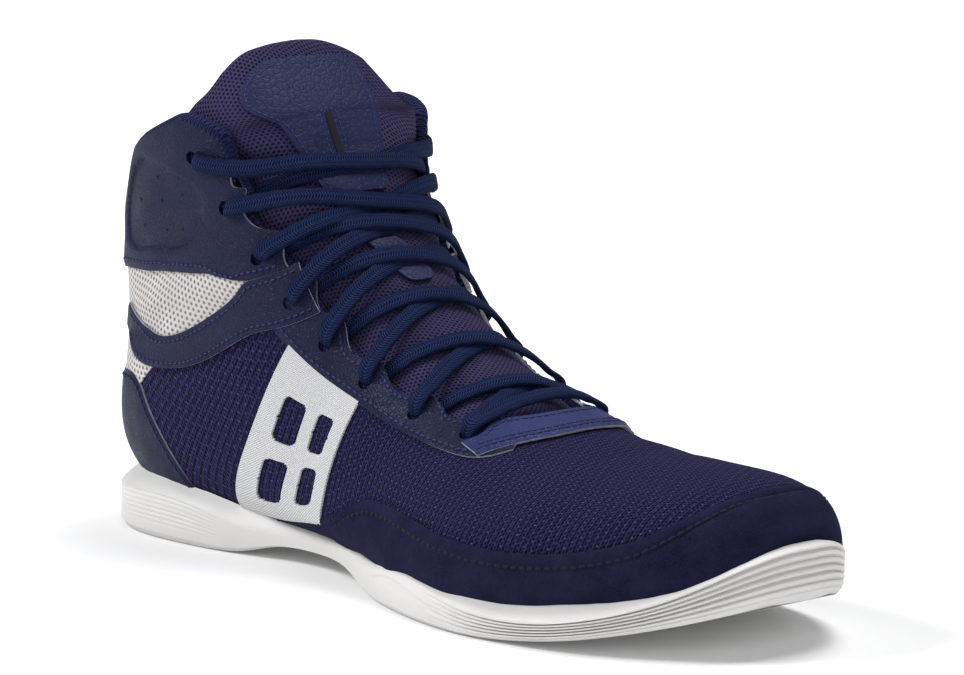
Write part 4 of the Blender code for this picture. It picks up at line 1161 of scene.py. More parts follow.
# %% Ankle straps
STRAP_TOP = ((0.662, -0.200), (0.678, -0.250), (0.697, -0.296), (0.700, -0.335), (0.712, -0.412),
             (0.733, -0.505), (0.758, -0.570), (0.790, -0.635), (0.822, -0.700))
STRAP_LOW = ((0.598, -0.243), (0.613, -0.290), (0.634, -0.333), (0.654, -0.366), (0.674, -0.420),
             (0.698, -0.495), (0.727, -0.575), (0.762, -0.650), (0.806, -0.722))
for side, turn, name in ((-1, list, "outer"), (1, other_side, "inner")):
    strap_place = band(turn(STRAP_LOW), turn(STRAP_TOP),
                       lambda s, t: 0.0010 - 0.0004 * bell((0.5 - np.abs(t - 0.5)) * STAY_WIDTH, 0.0011))
    strap = lasted(f"ankle_strap_{name}", 150, 16, strap_place, navy_grain, cut_edge)
    give_wall(strap, 0.0010, rim=1)
    punch(strap, [(EYELET_U[ON_STRAP], side * EYELET_V[ON_STRAP])])
    keep(strap, "grained_synthetic", f"ankle_strap_{name}")
    for from_top in (True, False):
        seam(inset(strap_place, 0.0022, from_top, 0.02, 0.97, 300), 0.0021)

# %% [markdown]
# The cuff holds the ankle. Its grid runs from the outer throat edge round the heel to the inner one. A pod is
# pressed into each side: a soft step in the lift, deeper inside a closed outline. Its few pinholes are
# near-black discs of painted shade, sewn at the end.

# %% Cuff
POD = ((0.945, -0.585), (0.930, -0.520), (0.905, -0.455), (0.872, -0.395), (0.846, -0.366), (0.815, -0.360),
       (0.796, -0.380), (0.798, -0.425), (0.822, -0.505), (0.845, -0.580), (0.866, -0.660), (0.905, -0.690),
       (0.938, -0.650))
POD_DEPTH = 0.0013
CUFF_THICK = 0.0013
CUFF_WIDTH = 0.05


def pod_distance(u, v):
    """Metres from the pod's outline: more than 0 inside it."""
    edge = np.array(POD)
    ring = along_edge(np.concatenate([edge, edge[:1]]), np.linspace(0, 1, 90))[:-1]
    p = np.stack([u * U_METRES, -np.abs(v) * V_METRES], axis=-1)
    q = ring * (U_METRES, V_METRES)
    off = np.min(np.hypot(p[:, None, 0] - q[None, :, 0], p[:, None, 1] - q[None, :, 1]), axis=1)
    a, b = q, np.roll(q, -1, axis=0)
    crosses = (a[None, :, 1] > p[:, None, 1]) != (b[None, :, 1] > p[:, None, 1])
    at = a[:, 0] + (p[:, 1:2] - a[:, 1]) * (b[:, 0] - a[:, 0]) / (b[:, 1] - a[:, 1] + 1e-12)
    inside = (crosses & (p[:, 0:1] < at)).sum(axis=1) % 2 == 1
    return np.where(inside, off, -off)


def cuff_place(s, t):
    """From the cuff's lower edge to the collar; k is the share of the way from the throat to the heel."""
    k = 1 - np.abs(2 * s - 1)
    side = np.where(s < 0.5, -1.0, 1.0)
    low = settle(k, CUFF_V, CUFF_U, throat_edge)
    top = settle(k, COLLAR_V, COLLAR_U)
    u = low * (1 - t) + top * t
    v = throat_edge(u) * (1 - k) + k
    pressed = -POD_DEPTH / (1 + np.exp(-pod_distance(u, v) / 0.00045))
    pressed -= 0.0004 * bell(t * CUFF_WIDTH, 0.0011)
    swell = 0.0012 * bell(1 - t, 0.25) * np.clip(k * 5, 0, 1)
    return u, side * v, pressed + swell + 0.0004


cuff = lasted("cuff", 300, 64, cuff_place, navy_grain, cut_edge)
merge_close(cuff)
give_wall(cuff, CUFF_THICK, rim=1)
punch(cuff, [(u, side * v) for side in (-1, 1) for u, v in zip(EYELET_U[:ON_STRAP], EYELET_V[:ON_STRAP])])
keep(cuff, "grained_synthetic", "cuff")
# The row stops at the middle of the heel, where v jumps from -1 to +1, and starts again behind it.
for start, stop in ((0.01, 0.4995), (0.5005, 0.99)):
    seam(inset(cuff_place, 0.0026, False, start, stop, 250), CUFF_THICK + 0.0005)

# %% [markdown]
# ## White panel on the outer waist
# A plain white film panel with four windows, printed with a fine hatch. The windows' faces are picked on the
# flat grid, inside four soft rectangles, and deleted once the piece lies on the last.

# %% Waist panel
SADDLE_LOW = ((0.498, -0.672), (0.520, -0.700), (0.545, -0.738), (0.575, -0.775), (0.608, -0.795))
SADDLE_TOP = ((0.498, -0.338), (0.520, -0.342), (0.545, -0.346), (0.575, -0.347), (0.608, -0.340))
saddle_place = band(SADDLE_LOW, SADDLE_TOP, 0.0)
PANEL_COLUMNS = 100
PANEL_ROWS = 120
WINDOWS = ((0.30, 0.28), (0.70, 0.28), (0.30, 0.66), (0.70, 0.66))
WINDOW_HALF = (0.125, 0.135)
saddle, s, t = flat_grid("waist_panel", PANEL_COLUMNS, PANEL_ROWS)
middles = face_middles(saddle)
windows = np.zeros(len(middles), bool)
for window in WINDOWS:
    a, b = (np.abs(middles - window) / WINDOW_HALF).T
    windows |= a ** 5 + b ** 5 < 1
lay(saddle, s, t, saddle_place, PANEL_COLUMNS, PANEL_ROWS)
delete_faces(saddle, windows)
add_looks(saddle, white_film, white_film)
give_wall(saddle, 0.0009, bevel=0.0002)
keep(saddle, "white_film", "saddle_outer")

# %% [markdown]
# The inner waist has a plain panel of blue synthetic. Its edges go under the rand and the eyestay, and only
# its front end shows a seam.

# %% Blue panel on the inner waist
INNER_LOW = ((0.440, 0.545), (0.470, 0.610), (0.505, 0.672), (0.551, 0.740), (0.600, 0.800), (0.640, 0.812))
INNER_TOP = ((0.452, 0.325), (0.480, 0.333), (0.515, 0.340), (0.560, 0.345), (0.605, 0.340), (0.640, 0.330))
INNER_LENGTH = 0.07
inner_place = band(INNER_LOW, INNER_TOP, lambda s, t: -0.0004 * bell(s * INNER_LENGTH, 0.0012))
inner_panel = lasted("midfoot_panel", 90, 60, inner_place, midfoot_grain, cut_edge)
give_wall(inner_panel, 0.0008, rim=1)
keep(inner_panel, "grained_synthetic")
seam([(0.447, 0.535), (0.4485, 0.480), (0.451, 0.430), (0.456, 0.370), (0.459, 0.335)], 0.0009)

# %% [markdown]
# ## Tongue
# The tongue is two layers of mesh with foam between them. We cut its outline, give it the foam's thickness
# with Solidify, blow it up gently with the Cloth solver and let it move by no more than a cap. Where the
# laces cross it, the foam is pressed in.

# %% The run of the laces, which the tongue has to know
LACE_WIDTH = 0.0058
LACE_THICK = 0.0020
INNER = list(zip(EYELET_U, EYELET_V))
OUTER = other_side(INNER)
# How far the middle of each crossing hangs towards the toe, in u.
DIPS = (0.085, 0.050, 0.010, 0.0, 0.0, 0.0, 0.0)
# Each strand: its name, where it comes out of an eyelet, where it goes, how far its middle hangs below the
# straight line, whether it lies on top at the crossing, and whether it ends in an eyelet or under the edge.
STRANDS = [
    ("lace_in_1", OUTER[0], INNER[1], DIPS[0], True, False),
    ("lace_out_1", INNER[0], OUTER[1], DIPS[0], False, False),
    ("lace_in_2", INNER[2], OUTER[1], DIPS[1], True, True),
    ("lace_out_2", OUTER[2], INNER[1], DIPS[1], False, True),
]
for k in range(2, 7):
    STRANDS.append((f"lace_in_{k + 1}", INNER[k + 1], OUTER[k], DIPS[k], True, False))
    STRANDS.append((f"lace_out_{k + 1}", OUTER[k + 1], INNER[k], DIPS[k], False, False))


def strand_uv(start, end, share, dip):
    """u and v along a strand; the dip lets its middle hang towards the toe."""
    u = start[0] + (end[0] - start[0]) * share - dip * np.sin(np.pi * np.clip(share, 0, 1))
    return u, start[1] + (end[1] - start[1]) * share


def pressed_by_laces(u, v):
    """0 away from the laces and 1 under the middle of one."""
    total = 0.0 * u
    for _, start, end, dip, _, _ in STRANDS:
        line_u, line_v = strand_uv(start, end, np.linspace(0, 1, 60), dip)
        off = np.min(np.hypot((u[:, None] - line_u) * U_METRES, (v[:, None] - line_v) * V_METRES), axis=1)
        total = np.maximum(total, bell(off, 0.0040))
    return total


# %% The tongue's two layers
TONGUE_U = (0.330, 0.360, 0.420, 0.520, 0.620, 0.720, 0.800, 0.860, 0.910, 0.940, 0.965, 0.985, 1.000)
TONGUE_OUT = (-0.130, -0.210, -0.265, -0.285, -0.255, -0.245, -0.275,
              -0.315, -0.380, -0.435, -0.470, -0.485, -0.480)
TONGUE_IN = (0.130, 0.210, 0.265, 0.285, 0.255, 0.245, 0.270, 0.275, 0.245, 0.205, 0.180, 0.165, 0.145)
# The top edge is an arch: how far it lies below the highest place, along v.
ARCH_V = (-0.52, -0.48, -0.44, -0.39, -0.35, -0.32, -0.29, -0.26,
          -0.23, -0.14, -0.05, 0.03, 0.08, 0.12, 0.16, 0.24)
ARCH_DROP = (0.050, 0.032, 0.024, 0.021, 0.018, 0.013, 0.009, 0.006,
             0.003, 0.001, 0.0, 0.001, 0.005, 0.010, 0.018, 0.036)
TONGUE_COLUMNS = 44
TONGUE_ROWS = 120
TONGUE_SINK = 0.0034
FOAM_LOW = 0.0030
FOAM_TOP = 0.0072


def tongue_top(u, v):
    """The lift of the tongue's outer face."""
    edge = np.maximum(throat(u) - 0.02, 0.03)
    swell = np.clip(1 - (np.abs(v) / edge) ** 2, 0, 1) ** 0.6
    free = ramp(u - 0.80, 0.08)
    rise = 0.0024 * swell * ramp(u - 0.36, 0.05) + 0.0010 * free
    behind = ramp(np.abs(v) - throat(u), 0.08) * free
    under_laces = 0.0010 * pressed_by_laces(u, v) * ramp(u - 0.37, 0.03)
    return -TONGUE_SINK + rise - 0.0016 * behind - under_laces


def tongue_place(s, t):
    """s runs across the tongue and t up it; its top edge is cut down to the arch."""
    u = TONGUE_U[0] + (TONGUE_U[-1] - TONGUE_U[0]) * t
    sides = spline(TONGUE_U, np.array([TONGUE_OUT, TONGUE_IN]).T, u)
    v = sides[:, 0] * (1 - s) + sides[:, 1] * s
    u = u - soft(v, ARCH_V, ARCH_DROP, EDGE_REACH) * ramp(t - 0.8, 0.2) ** 1.5
    return u, v, tongue_top(u, v)


tongue, s, t = flat_grid("tongue", TONGUE_COLUMNS, TONGUE_ROWS)
u = lay(tongue, s, t, tongue_place, TONGUE_COLUMNS, TONGUE_ROWS)
add_looks(tongue, tongue_cloth, lining_cloth)
# The foam is thin under the laces, full at the top, and thins out towards the rim.
full = np.interp(u, (0.45, 0.75), (FOAM_LOW, FOAM_TOP)) / FOAM_TOP
rim = np.sin(np.pi * np.clip(s, 0.03, 0.97)) ** 0.5 * np.clip((1.004 - t) / 0.05, 0.3, 1) ** 0.5
group = tongue.vertex_groups.new(name="foam")
for index, weight in enumerate(np.clip(full * (0.30 + 0.70 * rim), 0, 1)):
    group.add([index], float(weight), "REPLACE")
wall = tongue.modifiers.new("Foam", "SOLIDIFY")
wall.thickness = FOAM_TOP
wall.offset = -1.0
wall.vertex_group = "foam"
wall.material_offset = 1
wall.material_offset_rim = 1
apply_all(tongue)
print("tongue", len(tongue.data.vertices), "points")

# %% Blow the tongue up with Cloth
TONGUE_CAP = 0.0011
CLOTH_FRAMES = 20
before = points_of(tongue)
cloth = tongue.modifiers.new("Cloth", "CLOTH")
cloth.settings.use_pressure = True
cloth.settings.uniform_pressure_force = 4.0
cloth.settings.mass = 0.15
cloth.settings.effector_weights.gravity = 0.0
cloth.settings.quality = 4
cloth.collision_settings.use_collision = False
cloth.point_cache.frame_start = 1
cloth.point_cache.frame_end = CLOTH_FRAMES
for number in range(1, CLOTH_FRAMES + 1):
    scene.frame_set(number)
apply_all(tongue)
scene.frame_set(1)
moved = points_of(tongue) - before
far = np.linalg.norm(moved, axis=1)
print("tongue moved by up to", round(float(far.max()) * 1000, 2), "mm before the cap")
place_points(tongue, before + moved * (TONGUE_CAP / np.maximum(far, TONGUE_CAP))[:, None])
subdivide = tongue.modifiers.new("Smooth", "SUBSURF")
subdivide.levels = 1
subdivide.render_levels = 1
apply_all(tongue)
smooth(tongue, 60)
keep(tongue, "tongue_mesh", "tongue")

# %% [markdown]
# ## Badge, lace slot and tab on the tongue
# The badge is a plain patch of grained synthetic. It is laid on the tongue by Shrinkwrap, so that it
# follows the foam wherever the cloth solver left it.


# %% Patches on the tongue
def on_tongue(piece, gap):
    """Lays a patch on the tongue with a small gap, and evens it out."""
    wrap = piece.modifiers.new("On the tongue", "SHRINKWRAP")
    wrap.target = tongue
    wrap.wrap_method = "NEAREST_SURFACEPOINT"
    wrap.wrap_mode = "ABOVE_SURFACE"
    wrap.offset = gap
    apply_all(piece)
    calm = piece.modifiers.new("Calm", "SMOOTH")
    calm.factor = 0.5
    calm.iterations = 6
    apply_all(piece)


BADGE_LEFT = ((0.716, -0.066), (0.722, -0.092), (0.770, -0.110), (0.830, -0.135), (0.885, -0.162),
              (0.926, -0.200), (0.950, -0.248), (0.967, -0.262), (0.979, -0.228), (0.986, -0.178))
BADGE_RIGHT = ((0.716, 0.010), (0.722, 0.032), (0.770, 0.050), (0.830, 0.067), (0.885, 0.078),
               (0.926, 0.090), (0.950, 0.097), (0.967, 0.101), (0.979, 0.096), (0.986, 0.066))
badge_place = band(BADGE_LEFT, BADGE_RIGHT, 0.0006)
badge = lasted("tongue_badge", 110, 60, badge_place, badge_grain, cut_edge)
on_tongue(badge, 0.0003)
give_wall(badge, 0.0009)
keep(badge, "grained_synthetic", "tongue_badge")

TAB_LEFT = ((0.565, -0.022), (0.569, -0.042), (0.582, -0.053),
            (0.600, -0.057), (0.620, -0.064), (0.642, -0.072))
TAB_RIGHT = ((0.565, 0.005), (0.569, 0.022), (0.582, 0.030), (0.600, 0.022), (0.620, 0.012), (0.640, -0.006))
tab_place = band(TAB_LEFT, TAB_RIGHT, 0.0006)
tab = lasted("tongue_tab", 50, 30, tab_place, badge_grain, cut_edge)
on_tongue(tab, 0.0003)
give_wall(tab, 0.0011)
keep(tab, "grained_synthetic")

SLOT_LEFT = ((0.780, -0.046), (0.786, -0.050), (0.850, -0.056), (0.908, -0.058), (0.916, -0.053))
SLOT_RIGHT = ((0.780, -0.040), (0.786, -0.036), (0.850, -0.038), (0.908, -0.041), (0.916, -0.046))
# The slot is not cut: a thin near-black sheet on the badge is painted shade in its opening.
slot = lasted("badge_slot_shade", 60, 8, band(SLOT_LEFT, SLOT_RIGHT, 0.0030), painted_shade, painted_shade)
on_tongue(slot, 0.0013)
give_wall(slot, 0.0002, bevel=0.0)
keep(slot, "grained_synthetic")

# %% Seams on the patches, laid on the tongue
SLOT_RING = ((0.778, -0.043), (0.776, -0.052), (0.786, -0.060), (0.850, -0.068), (0.908, -0.070),
             (0.923, -0.063), (0.927, -0.049), (0.921, -0.035), (0.908, -0.029), (0.850, -0.026),
             (0.786, -0.026), (0.776, -0.034), (0.778, -0.043))
TAB_SEAM = ((0.6000, -0.050), (0.6015, -0.020), (0.6000, 0.010))
RAY_START = 0.02


def height_on(piece, u, v):
    """The lift of a piece's outer face over the last, by rays from outside."""
    tree = BVHTree.FromPolygons(points_of(piece).tolist(), [tuple(p.vertices) for p in piece.data.polygons])
    start = skin(u, v, RAY_START)
    aim_at = skin(u, v, -RAY_START) - start
    found = np.full(len(u), np.nan)
    for i, (a, d) in enumerate(zip(start, aim_at)):
        place = tree.ray_cast(Vector(a), Vector(d).normalized(), 2 * RAY_START)[0]
        if place is not None:
            found[i] = RAY_START - (Vector(a) - place).length
    good = ~np.isnan(found)
    return np.interp(np.arange(len(u)), np.flatnonzero(good), found[good])


def sew_on(piece, path):
    """Notes a row of small stitches that follows the face of a piece."""
    u, v = fine_path(path)
    seam(path, height_on(piece, u, v), pitch=0.0021, length=0.0016, width=0.00055)


top_seam = [(0.9815, v) for v in np.linspace(-0.176, 0.058, 9)]
for path in (inset(badge_place, 0.0024, True, 0.03, 0.96), along_edge(top_seam, np.linspace(0, 1, 60)),
             inset(badge_place, 0.0024, False, 0.03, 0.96), along_edge(SLOT_RING, np.linspace(0, 1, 160))):
    sew_on(badge, path)
for path in (inset(tab_place, 0.0020, True, 0.06, 0.97), inset(tab_place, 0.0020, False, 0.06, 0.97),
             along_edge(TAB_SEAM, np.linspace(0, 1, 20))):
    sew_on(tab, path)
print("patches sewn on; rows so far:", len(STITCHES))

# %% [markdown]
# ## Collar roll
# The top of the cuff is turned over foam and bound with ribbed cloth. A flat grid is rolled into a tube: one
# share goes round the tube and the other along the collar.


# %% A grid rolled into a tube
def rolled(name, centre, out, side, width, thick, look, around=16, power=2.0, seam_width=None):
    """A closed tube along centre points, with a half width and a half thickness at each, and shut ends."""
    count = len(centre)
    piece, s, t = flat_grid(name, around, count - 1)
    index = np.rint(t * (count - 1)).astype(int)
    turn = 2 * math.pi * s
    cos = np.sign(np.cos(turn)) * np.abs(np.cos(turn)) ** (2 / power)
    sin = np.sign(np.sin(turn)) * np.abs(np.sin(turn)) ** (2 / power)
    shut = np.where((index == 0) | (index == count - 1), 0.0, 1.0)
    points = centre[index] + side[index] * (width[index] * cos * shut)[:, None] \
        + out[index] * (thick[index] * sin * shut)[:, None]
    place_points(piece, points)
    face_along(piece, points - centre[index])
    girth = seam_width or 2 * math.pi * float(np.mean((width + thick) / 2))
    write_pattern(piece, way_along(centre)[index], s * girth)
    add_looks(piece, look)
    merge_close(piece)
    smooth(piece, 80)
    return piece


def frame_along(centre, out):
    """Unit directions out and sideways along a line."""
    ahead = unit(np.gradient(centre, axis=0))
    out = unit(out - (out * ahead).sum(axis=1)[:, None] * ahead)
    return out, np.cross(ahead, out)


ROLL_THICK = 0.0029
ROLL_FROM_U = 0.775
share = np.linspace(0, 1, 260)
k = 1 - np.abs(2 * share - 1)
edge_u = settle(k, COLLAR_V, COLLAR_U)
edge_v = (throat(edge_u) * (1 - k) + k) * np.where(share < 0.5, -1, 1)
# The roll also runs down both sides of the throat, as far as the cuff's second eyelet.
front_u = np.linspace(ROLL_FROM_U, edge_u[0], 50)[:-1]
edge_v = np.concatenate([-throat(front_u), edge_v, throat(front_u)[::-1]])
edge_u = np.concatenate([front_u, edge_u, front_u[::-1]])
centre = skin(edge_u, edge_v, -0.0002)
outward = out_of(edge_u, edge_v, -0.0002)
# The line is evened out in space, because v jumps from -1 to +1 at the heel.
for _ in range(14):
    centre[1:-1] = (centre[:-2] + centre[1:-1] * 2 + centre[2:]) / 4
    outward[1:-1] = (outward[:-2] + outward[1:-1] * 2 + outward[2:]) / 4
out, side = frame_along(centre, outward)
place = np.linspace(0, 1, len(centre))
thick = ROLL_THICK * np.clip(np.sin(np.pi * place) * 3.2, 0.55, 1)
collar = rolled("collar_roll", centre, out, side, thick * 0.9, thick, lining_cloth)
keep(collar, "grained_synthetic")

# %% [markdown]
# ## Laces
# Each strand comes up out of its eyelet, bends over the edge of the hole, crosses the tongue and slips under
# the eyestay on the other side. A table of (share, lift) gives its height on the way. The bar at the bottom
# comes out of both eyelets. The ends of the lace are hidden inside the shoe at the top eyelets.

# %% Laces
LACE_STEPS = 72
# The hook at an eyelet: how far along it is, in bends, and its height over the last.
HOOK = ((0.0, -0.0036), (0.05, -0.0008), (0.45, 0.0021), (1.3, 0.0037), (2.8, 0.0032))
BEND = 0.0022
# Within these distances from its end the lace is narrower and thicker, because the eyelet gathers it.
IN_HOOK = (0.0, 0.004, 0.008)
OVER_EDGE = 0.0024
ON_TOP = 0.0025
BELOW = 0.0002


def lace(name, start, end, lifts, dip=0.0, open_end=False):
    """A strand from a start eyelet to an end; lifts are (share, lift) pairs between the two hooks."""
    bend = BEND / float(np.linalg.norm(skin(*start) - skin(*end)))
    heights = [(far * bend, height) for far, height in HOOK] + lifts
    if not open_end:
        heights += [(1 - far * bend, height) for far, height in HOOK[::-1]]
    heights = np.array(heights)
    shares, heights = sample(np.linspace(0, 1, 300), np.linspace(0, 1, len(heights)), heights).T
    u, v = strand_uv(start, end, shares, dip)
    out = unit(out_of(u, v))
    line = skin(u, v) + out * heights[:, None]
    way = way_along(line)
    even = np.linspace(0, way[-1], LACE_STEPS)
    centre = sample(even, way, line)
    for _ in range(2):
        centre[1:-1] = (centre[:-2] + centre[1:-1] + centre[2:]) / 3
    ahead = unit(np.gradient(centre, axis=0))
    # In the hooks the lace runs along the normal, so its flat side keeps the direction across the strand.
    side = np.cross(unit(line[-1] - line[0])[None, :], sample(even, way, out))
    side = unit(side - (side * ahead).sum(axis=1)[:, None] * ahead)
    near = even if open_end else np.minimum(even, way[-1] - even)
    width = LACE_WIDTH / 2 * np.interp(near, IN_HOOK, (0.66, 0.80, 1.0))
    width *= 1 + 0.03 * np.sin(even * 900)
    thick = LACE_THICK / 2 * np.interp(near, IN_HOOK, (1.15, 1.10, 1.0))
    return rolled(name, centre, np.cross(side, ahead), side, width, thick, lace_cloth, around=20, power=3.2,
                  seam_width=LACE_ROUND)


for name, start, end, dip, over, hooked in STRANDS:
    share = np.linspace(0, 1, 201)
    u, v = strand_uv(start, end, share, dip)
    open_way = np.abs(v) < throat(u)
    first = share[np.argmax(open_way)]
    last = share[len(share) - 1 - np.argmax(open_way[::-1])]
    crossing = share[np.argmin(np.abs(v))]
    # The heights on the way: over the edge of the hole, over or under the other strand, and out again.
    level = ON_TOP if over else BELOW
    lifts = [(first, OVER_EDGE), (crossing - 0.13, 0.0008 + level * 0.55), (crossing - 0.05, level + 0.0002),
             (crossing + 0.05, level + 0.0002), (crossing + 0.13, 0.0004 + level * 0.55)]
    if hooked:
        lifts.append((last, OVER_EDGE))
    else:
        lifts += [(last - 0.02, -0.0018), (min(last + 0.05, 0.99), -0.0040)]
    piece = lace(name, start, end, lifts, dip, open_end=not hooked)
    keep(piece, "woven_lace", f"lace_crossing_{name[-1]}")
low_bar = lace("lace_bar_low", OUTER[7], INNER[7], [(0.25, 0.0032), (0.5, 0.0034), (0.75, 0.0032)])
keep(low_bar, "woven_lace", "lace_bar_low")

# %% [markdown]
# ## The sole
# The sole is one moulded unit. Its outline is a smooth closed curve through a table of places, its bottom
# follows the floor, lifts at the arch and springs up at the toe, and its wall is ribbed round the toe. The
# wall is a grid rolled round the outline.

# %% The sole's outline
# x  outer edge  inner edge  wall height, as shares of the length, the width, the width and SOLE_WALL
SOLE_OUTLINE = (
    (1.000, 0.155, 0.155, 0.96), (0.997, 0.048, 0.232, 0.95), (0.985, -0.068, 0.312, 0.84),
    (0.960, -0.174, 0.388, 0.64), (0.917, -0.280, 0.462, 0.45), (0.861, -0.386, 0.500, 0.36),
    (0.788, -0.459, 0.510, 0.36), (0.715, -0.498, 0.504, 0.50), (0.642, -0.493, 0.478, 0.70),
    (0.569, -0.449, 0.415, 0.70), (0.489, -0.367, 0.330, 0.40), (0.406, -0.305, 0.285, 0.26),
    (0.323, -0.320, 0.295, 0.28), (0.240, -0.378, 0.345, 0.72), (0.164, -0.411, 0.391, 0.94),
    (0.104, -0.406, 0.396, 0.92), (0.058, -0.357, 0.348, 0.86), (0.025, -0.261, 0.242, 0.85),
    (0.007, -0.145, 0.116, 0.85), (0.000, 0.000, 0.000, 0.85),
)
SOLE_WALL = 0.017
TOE_SPRING = 0.017
TOE_SPRING_FROM = 0.70
ARCH_RISE = 0.0055
ARCH_MIDDLE = 0.395
ARCH_REACH = 0.105
SOLE_WIDTH = BALL_WIDTH + 0.005


def floor_height(x):
    """The height of the sole's underside at a share of the length, from the heel (0) to the toe (1)."""
    toe = ramp(x - TOE_SPRING_FROM, 0.30) ** 2 * TOE_SPRING
    return toe + np.exp(-((x - ARCH_MIDDLE) / ARCH_REACH) ** 4) * ARCH_RISE


def sole_edges(count):
    """The outer and the inner edge from the toe to the heel, and the height of the wall along them."""
    table = np.array(SOLE_OUTLINE)
    outer = np.stack([(table[:, 0] - 0.5) * SHOE_LENGTH, table[:, 1] * SOLE_WIDTH], axis=-1)
    inner = np.stack([(table[:, 0] - 0.5) * SHOE_LENGTH, table[:, 2] * SOLE_WIDTH], axis=-1)
    places = way_along(outer) + way_along(inner)
    at = np.linspace(0, places[-1], count)
    outer = spline(places, outer, at)
    inner = spline(places, inner, at)
    inner[:, 0] = outer[:, 0]
    inner[-1] = outer[-1]
    inner[0] = outer[0]
    wall = spline(places, table[:, 3:4] * SOLE_WALL, at)[:, 0]
    return outer, inner, wall


outer_edge, inner_edge, wall_height = sole_edges(161)
ring = np.concatenate([outer_edge, inner_edge[-2:0:-1]])
wall_height = np.concatenate([wall_height, wall_height[-2:0:-1]])
ahead = np.roll(ring, -1, axis=0) - np.roll(ring, 1, axis=0)
ring_out = np.stack([ahead[:, 1], -ahead[:, 0]], axis=-1)
ring_out /= np.linalg.norm(ring_out, axis=1)[:, None]
if (ring_out * (ring - ring.mean(axis=0))).sum() < 0:
    ring_out = -ring_out
ring_x = ring[:, 0] / SHOE_LENGTH + 0.5
print("sole outline:", len(ring), "places")

# %% The sole's wall, lip and bottom
RIBS = 6
RIB_DEPTH = 0.0013
RIBS_FROM = 0.64
HEEL_RIBS = 9
HEEL_RIB_DEPTH = 0.00035
HEEL_RIBS_UP_TO = 0.26
SWIRL_DEPTH = 0.0007
LEVELS = 46
# The swirl on the bump at the outer ball: x and z in metres.
SWIRL = ((0.013, 0.0075), (0.022, 0.0098), (0.034, 0.0095), (0.046, 0.0070), (0.056, 0.0045))
LIP_ROWS = 6
WALL_ROWS = LEVELS - LIP_ROWS
ROUNDING = 0.0022

flat_points = SKIN_POINTS.reshape(-1, 3)[::2]
flat_normals = SKIN_NORMALS.reshape(-1, 3)[::2]
skin_tree = kdtree.KDTree(len(flat_points))
for index, point in enumerate(flat_points):
    skin_tree.insert(point, index)
skin_tree.balance()


def rib_depth(x, level, outer_side, place):
    """How far the wall is cut in, at a share of the length and a level from the floor (0) to the top (1)."""
    toe = ramp(x - RIBS_FROM, 0.16)
    heel = ramp(HEEL_RIBS_UP_TO - x, 0.06)
    line = (0.5 - 0.5 * np.cos(2 * np.pi * level * RIBS)) ** 3
    fine = (0.5 - 0.5 * np.cos(2 * np.pi * level * HEEL_RIBS)) ** 2
    depth = RIB_DEPTH * toe * line * ramp(level - 0.06, 0.1)
    depth = depth + HEEL_RIB_DEPTH * heel * fine * ramp(level - 0.2, 0.1)
    x_swirl, z_swirl = along_edge(SWIRL, np.linspace(0, 1, 40)).T
    off = np.min(np.hypot(place[:, None, 0] - x_swirl, place[:, None, 2] - z_swirl), axis=1)
    return depth + SWIRL_DEPTH * bell(off, 0.0008) * outer_side


sole, s, t = flat_grid("outsole", len(ring), LEVELS)
turn = np.rint(s * len(ring)).astype(int) % len(ring)
level_row = np.rint(t * LEVELS).astype(int)
floor_at = floor_height(ring_x)
# The lip: from each place of the outline to the nearest point of the last, evened out round the shoe.
lip_in = np.zeros((len(ring), 3))
for index in range(len(ring)):
    top = np.array([*(ring[index] - ring_out[index] * 0.001), floor_at[index] + wall_height[index] + 0.0012])
    found, which, _ = skin_tree.find(top)
    lip_in[index] = np.array(found) + flat_normals[which] * 0.0004
lip_in = np.mean([np.roll(lip_in, shift, axis=0) for shift in range(-3, 4)], axis=0)
level = ramp(level_row - 2, WALL_ROWS - 2)
x_here = ring_x[turn]
z = floor_at[turn] + wall_height[turn] * (0.10 + 0.90 * level)
z = np.where(level_row == 1, floor_at[turn] + wall_height[turn] * 0.03, z)
z = np.where(level_row == 0, floor_at[turn], z)
points = np.column_stack([ring[turn], z])
depth = rib_depth(x_here, level, (ring[turn][:, 1] < 0).astype(float), points)
rounded = np.interp(level_row, (0, 1, 2, 3, 4), (ROUNDING, 0.0012, 0.0006, 0.0002, 0.0))
fuller = 0.0012 * ramp(x_here - 0.94, 0.05) * np.clip(level * 4, 0, 1)
points[:, :2] -= ring_out[turn] * (depth + rounded - fuller)[:, None]
low = np.interp(level_row, (1, 5), (1.0, 0.0))
points[:, 2] += low * (floor_height(points[:, 0] / SHOE_LENGTH + 0.5) - floor_at[turn])
over = ramp(level_row - WALL_ROWS, LIP_ROWS)
crest = points.copy()
crest[:, 2] += 0.0008 * np.sin(np.pi * over)
points = crest * (1 - over)[:, None] + lip_in[turn] * over[:, None]
place_points(sole, points)
face_along(sole, np.column_stack([ring_out[turn], 0 * x_here]))
pattern_map(sole, points.reshape(LEVELS + 1, len(ring) + 1, 3))
sole.data.materials.append(rubber)
merge_close(sole)
smooth(sole, 50)


def bottom_height(x):
    """The floor line with shallow grooves across the forefoot and the heel."""
    groove = 0.0 * x
    for place in [*np.linspace(0.53, 0.80, 7), *np.linspace(0.08, 0.22, 4)]:
        groove = np.maximum(groove, np.clip(1.6 - np.abs(x - place) * SHOE_LENGTH / 0.0007, 0, 1))
    return floor_height(x) + 0.0010 * groove


BOTTOM_COLUMNS = 420
BOTTOM_ROWS = 24
bottom, s, t = flat_grid("outsole_bottom", BOTTOM_COLUMNS, BOTTOM_ROWS)
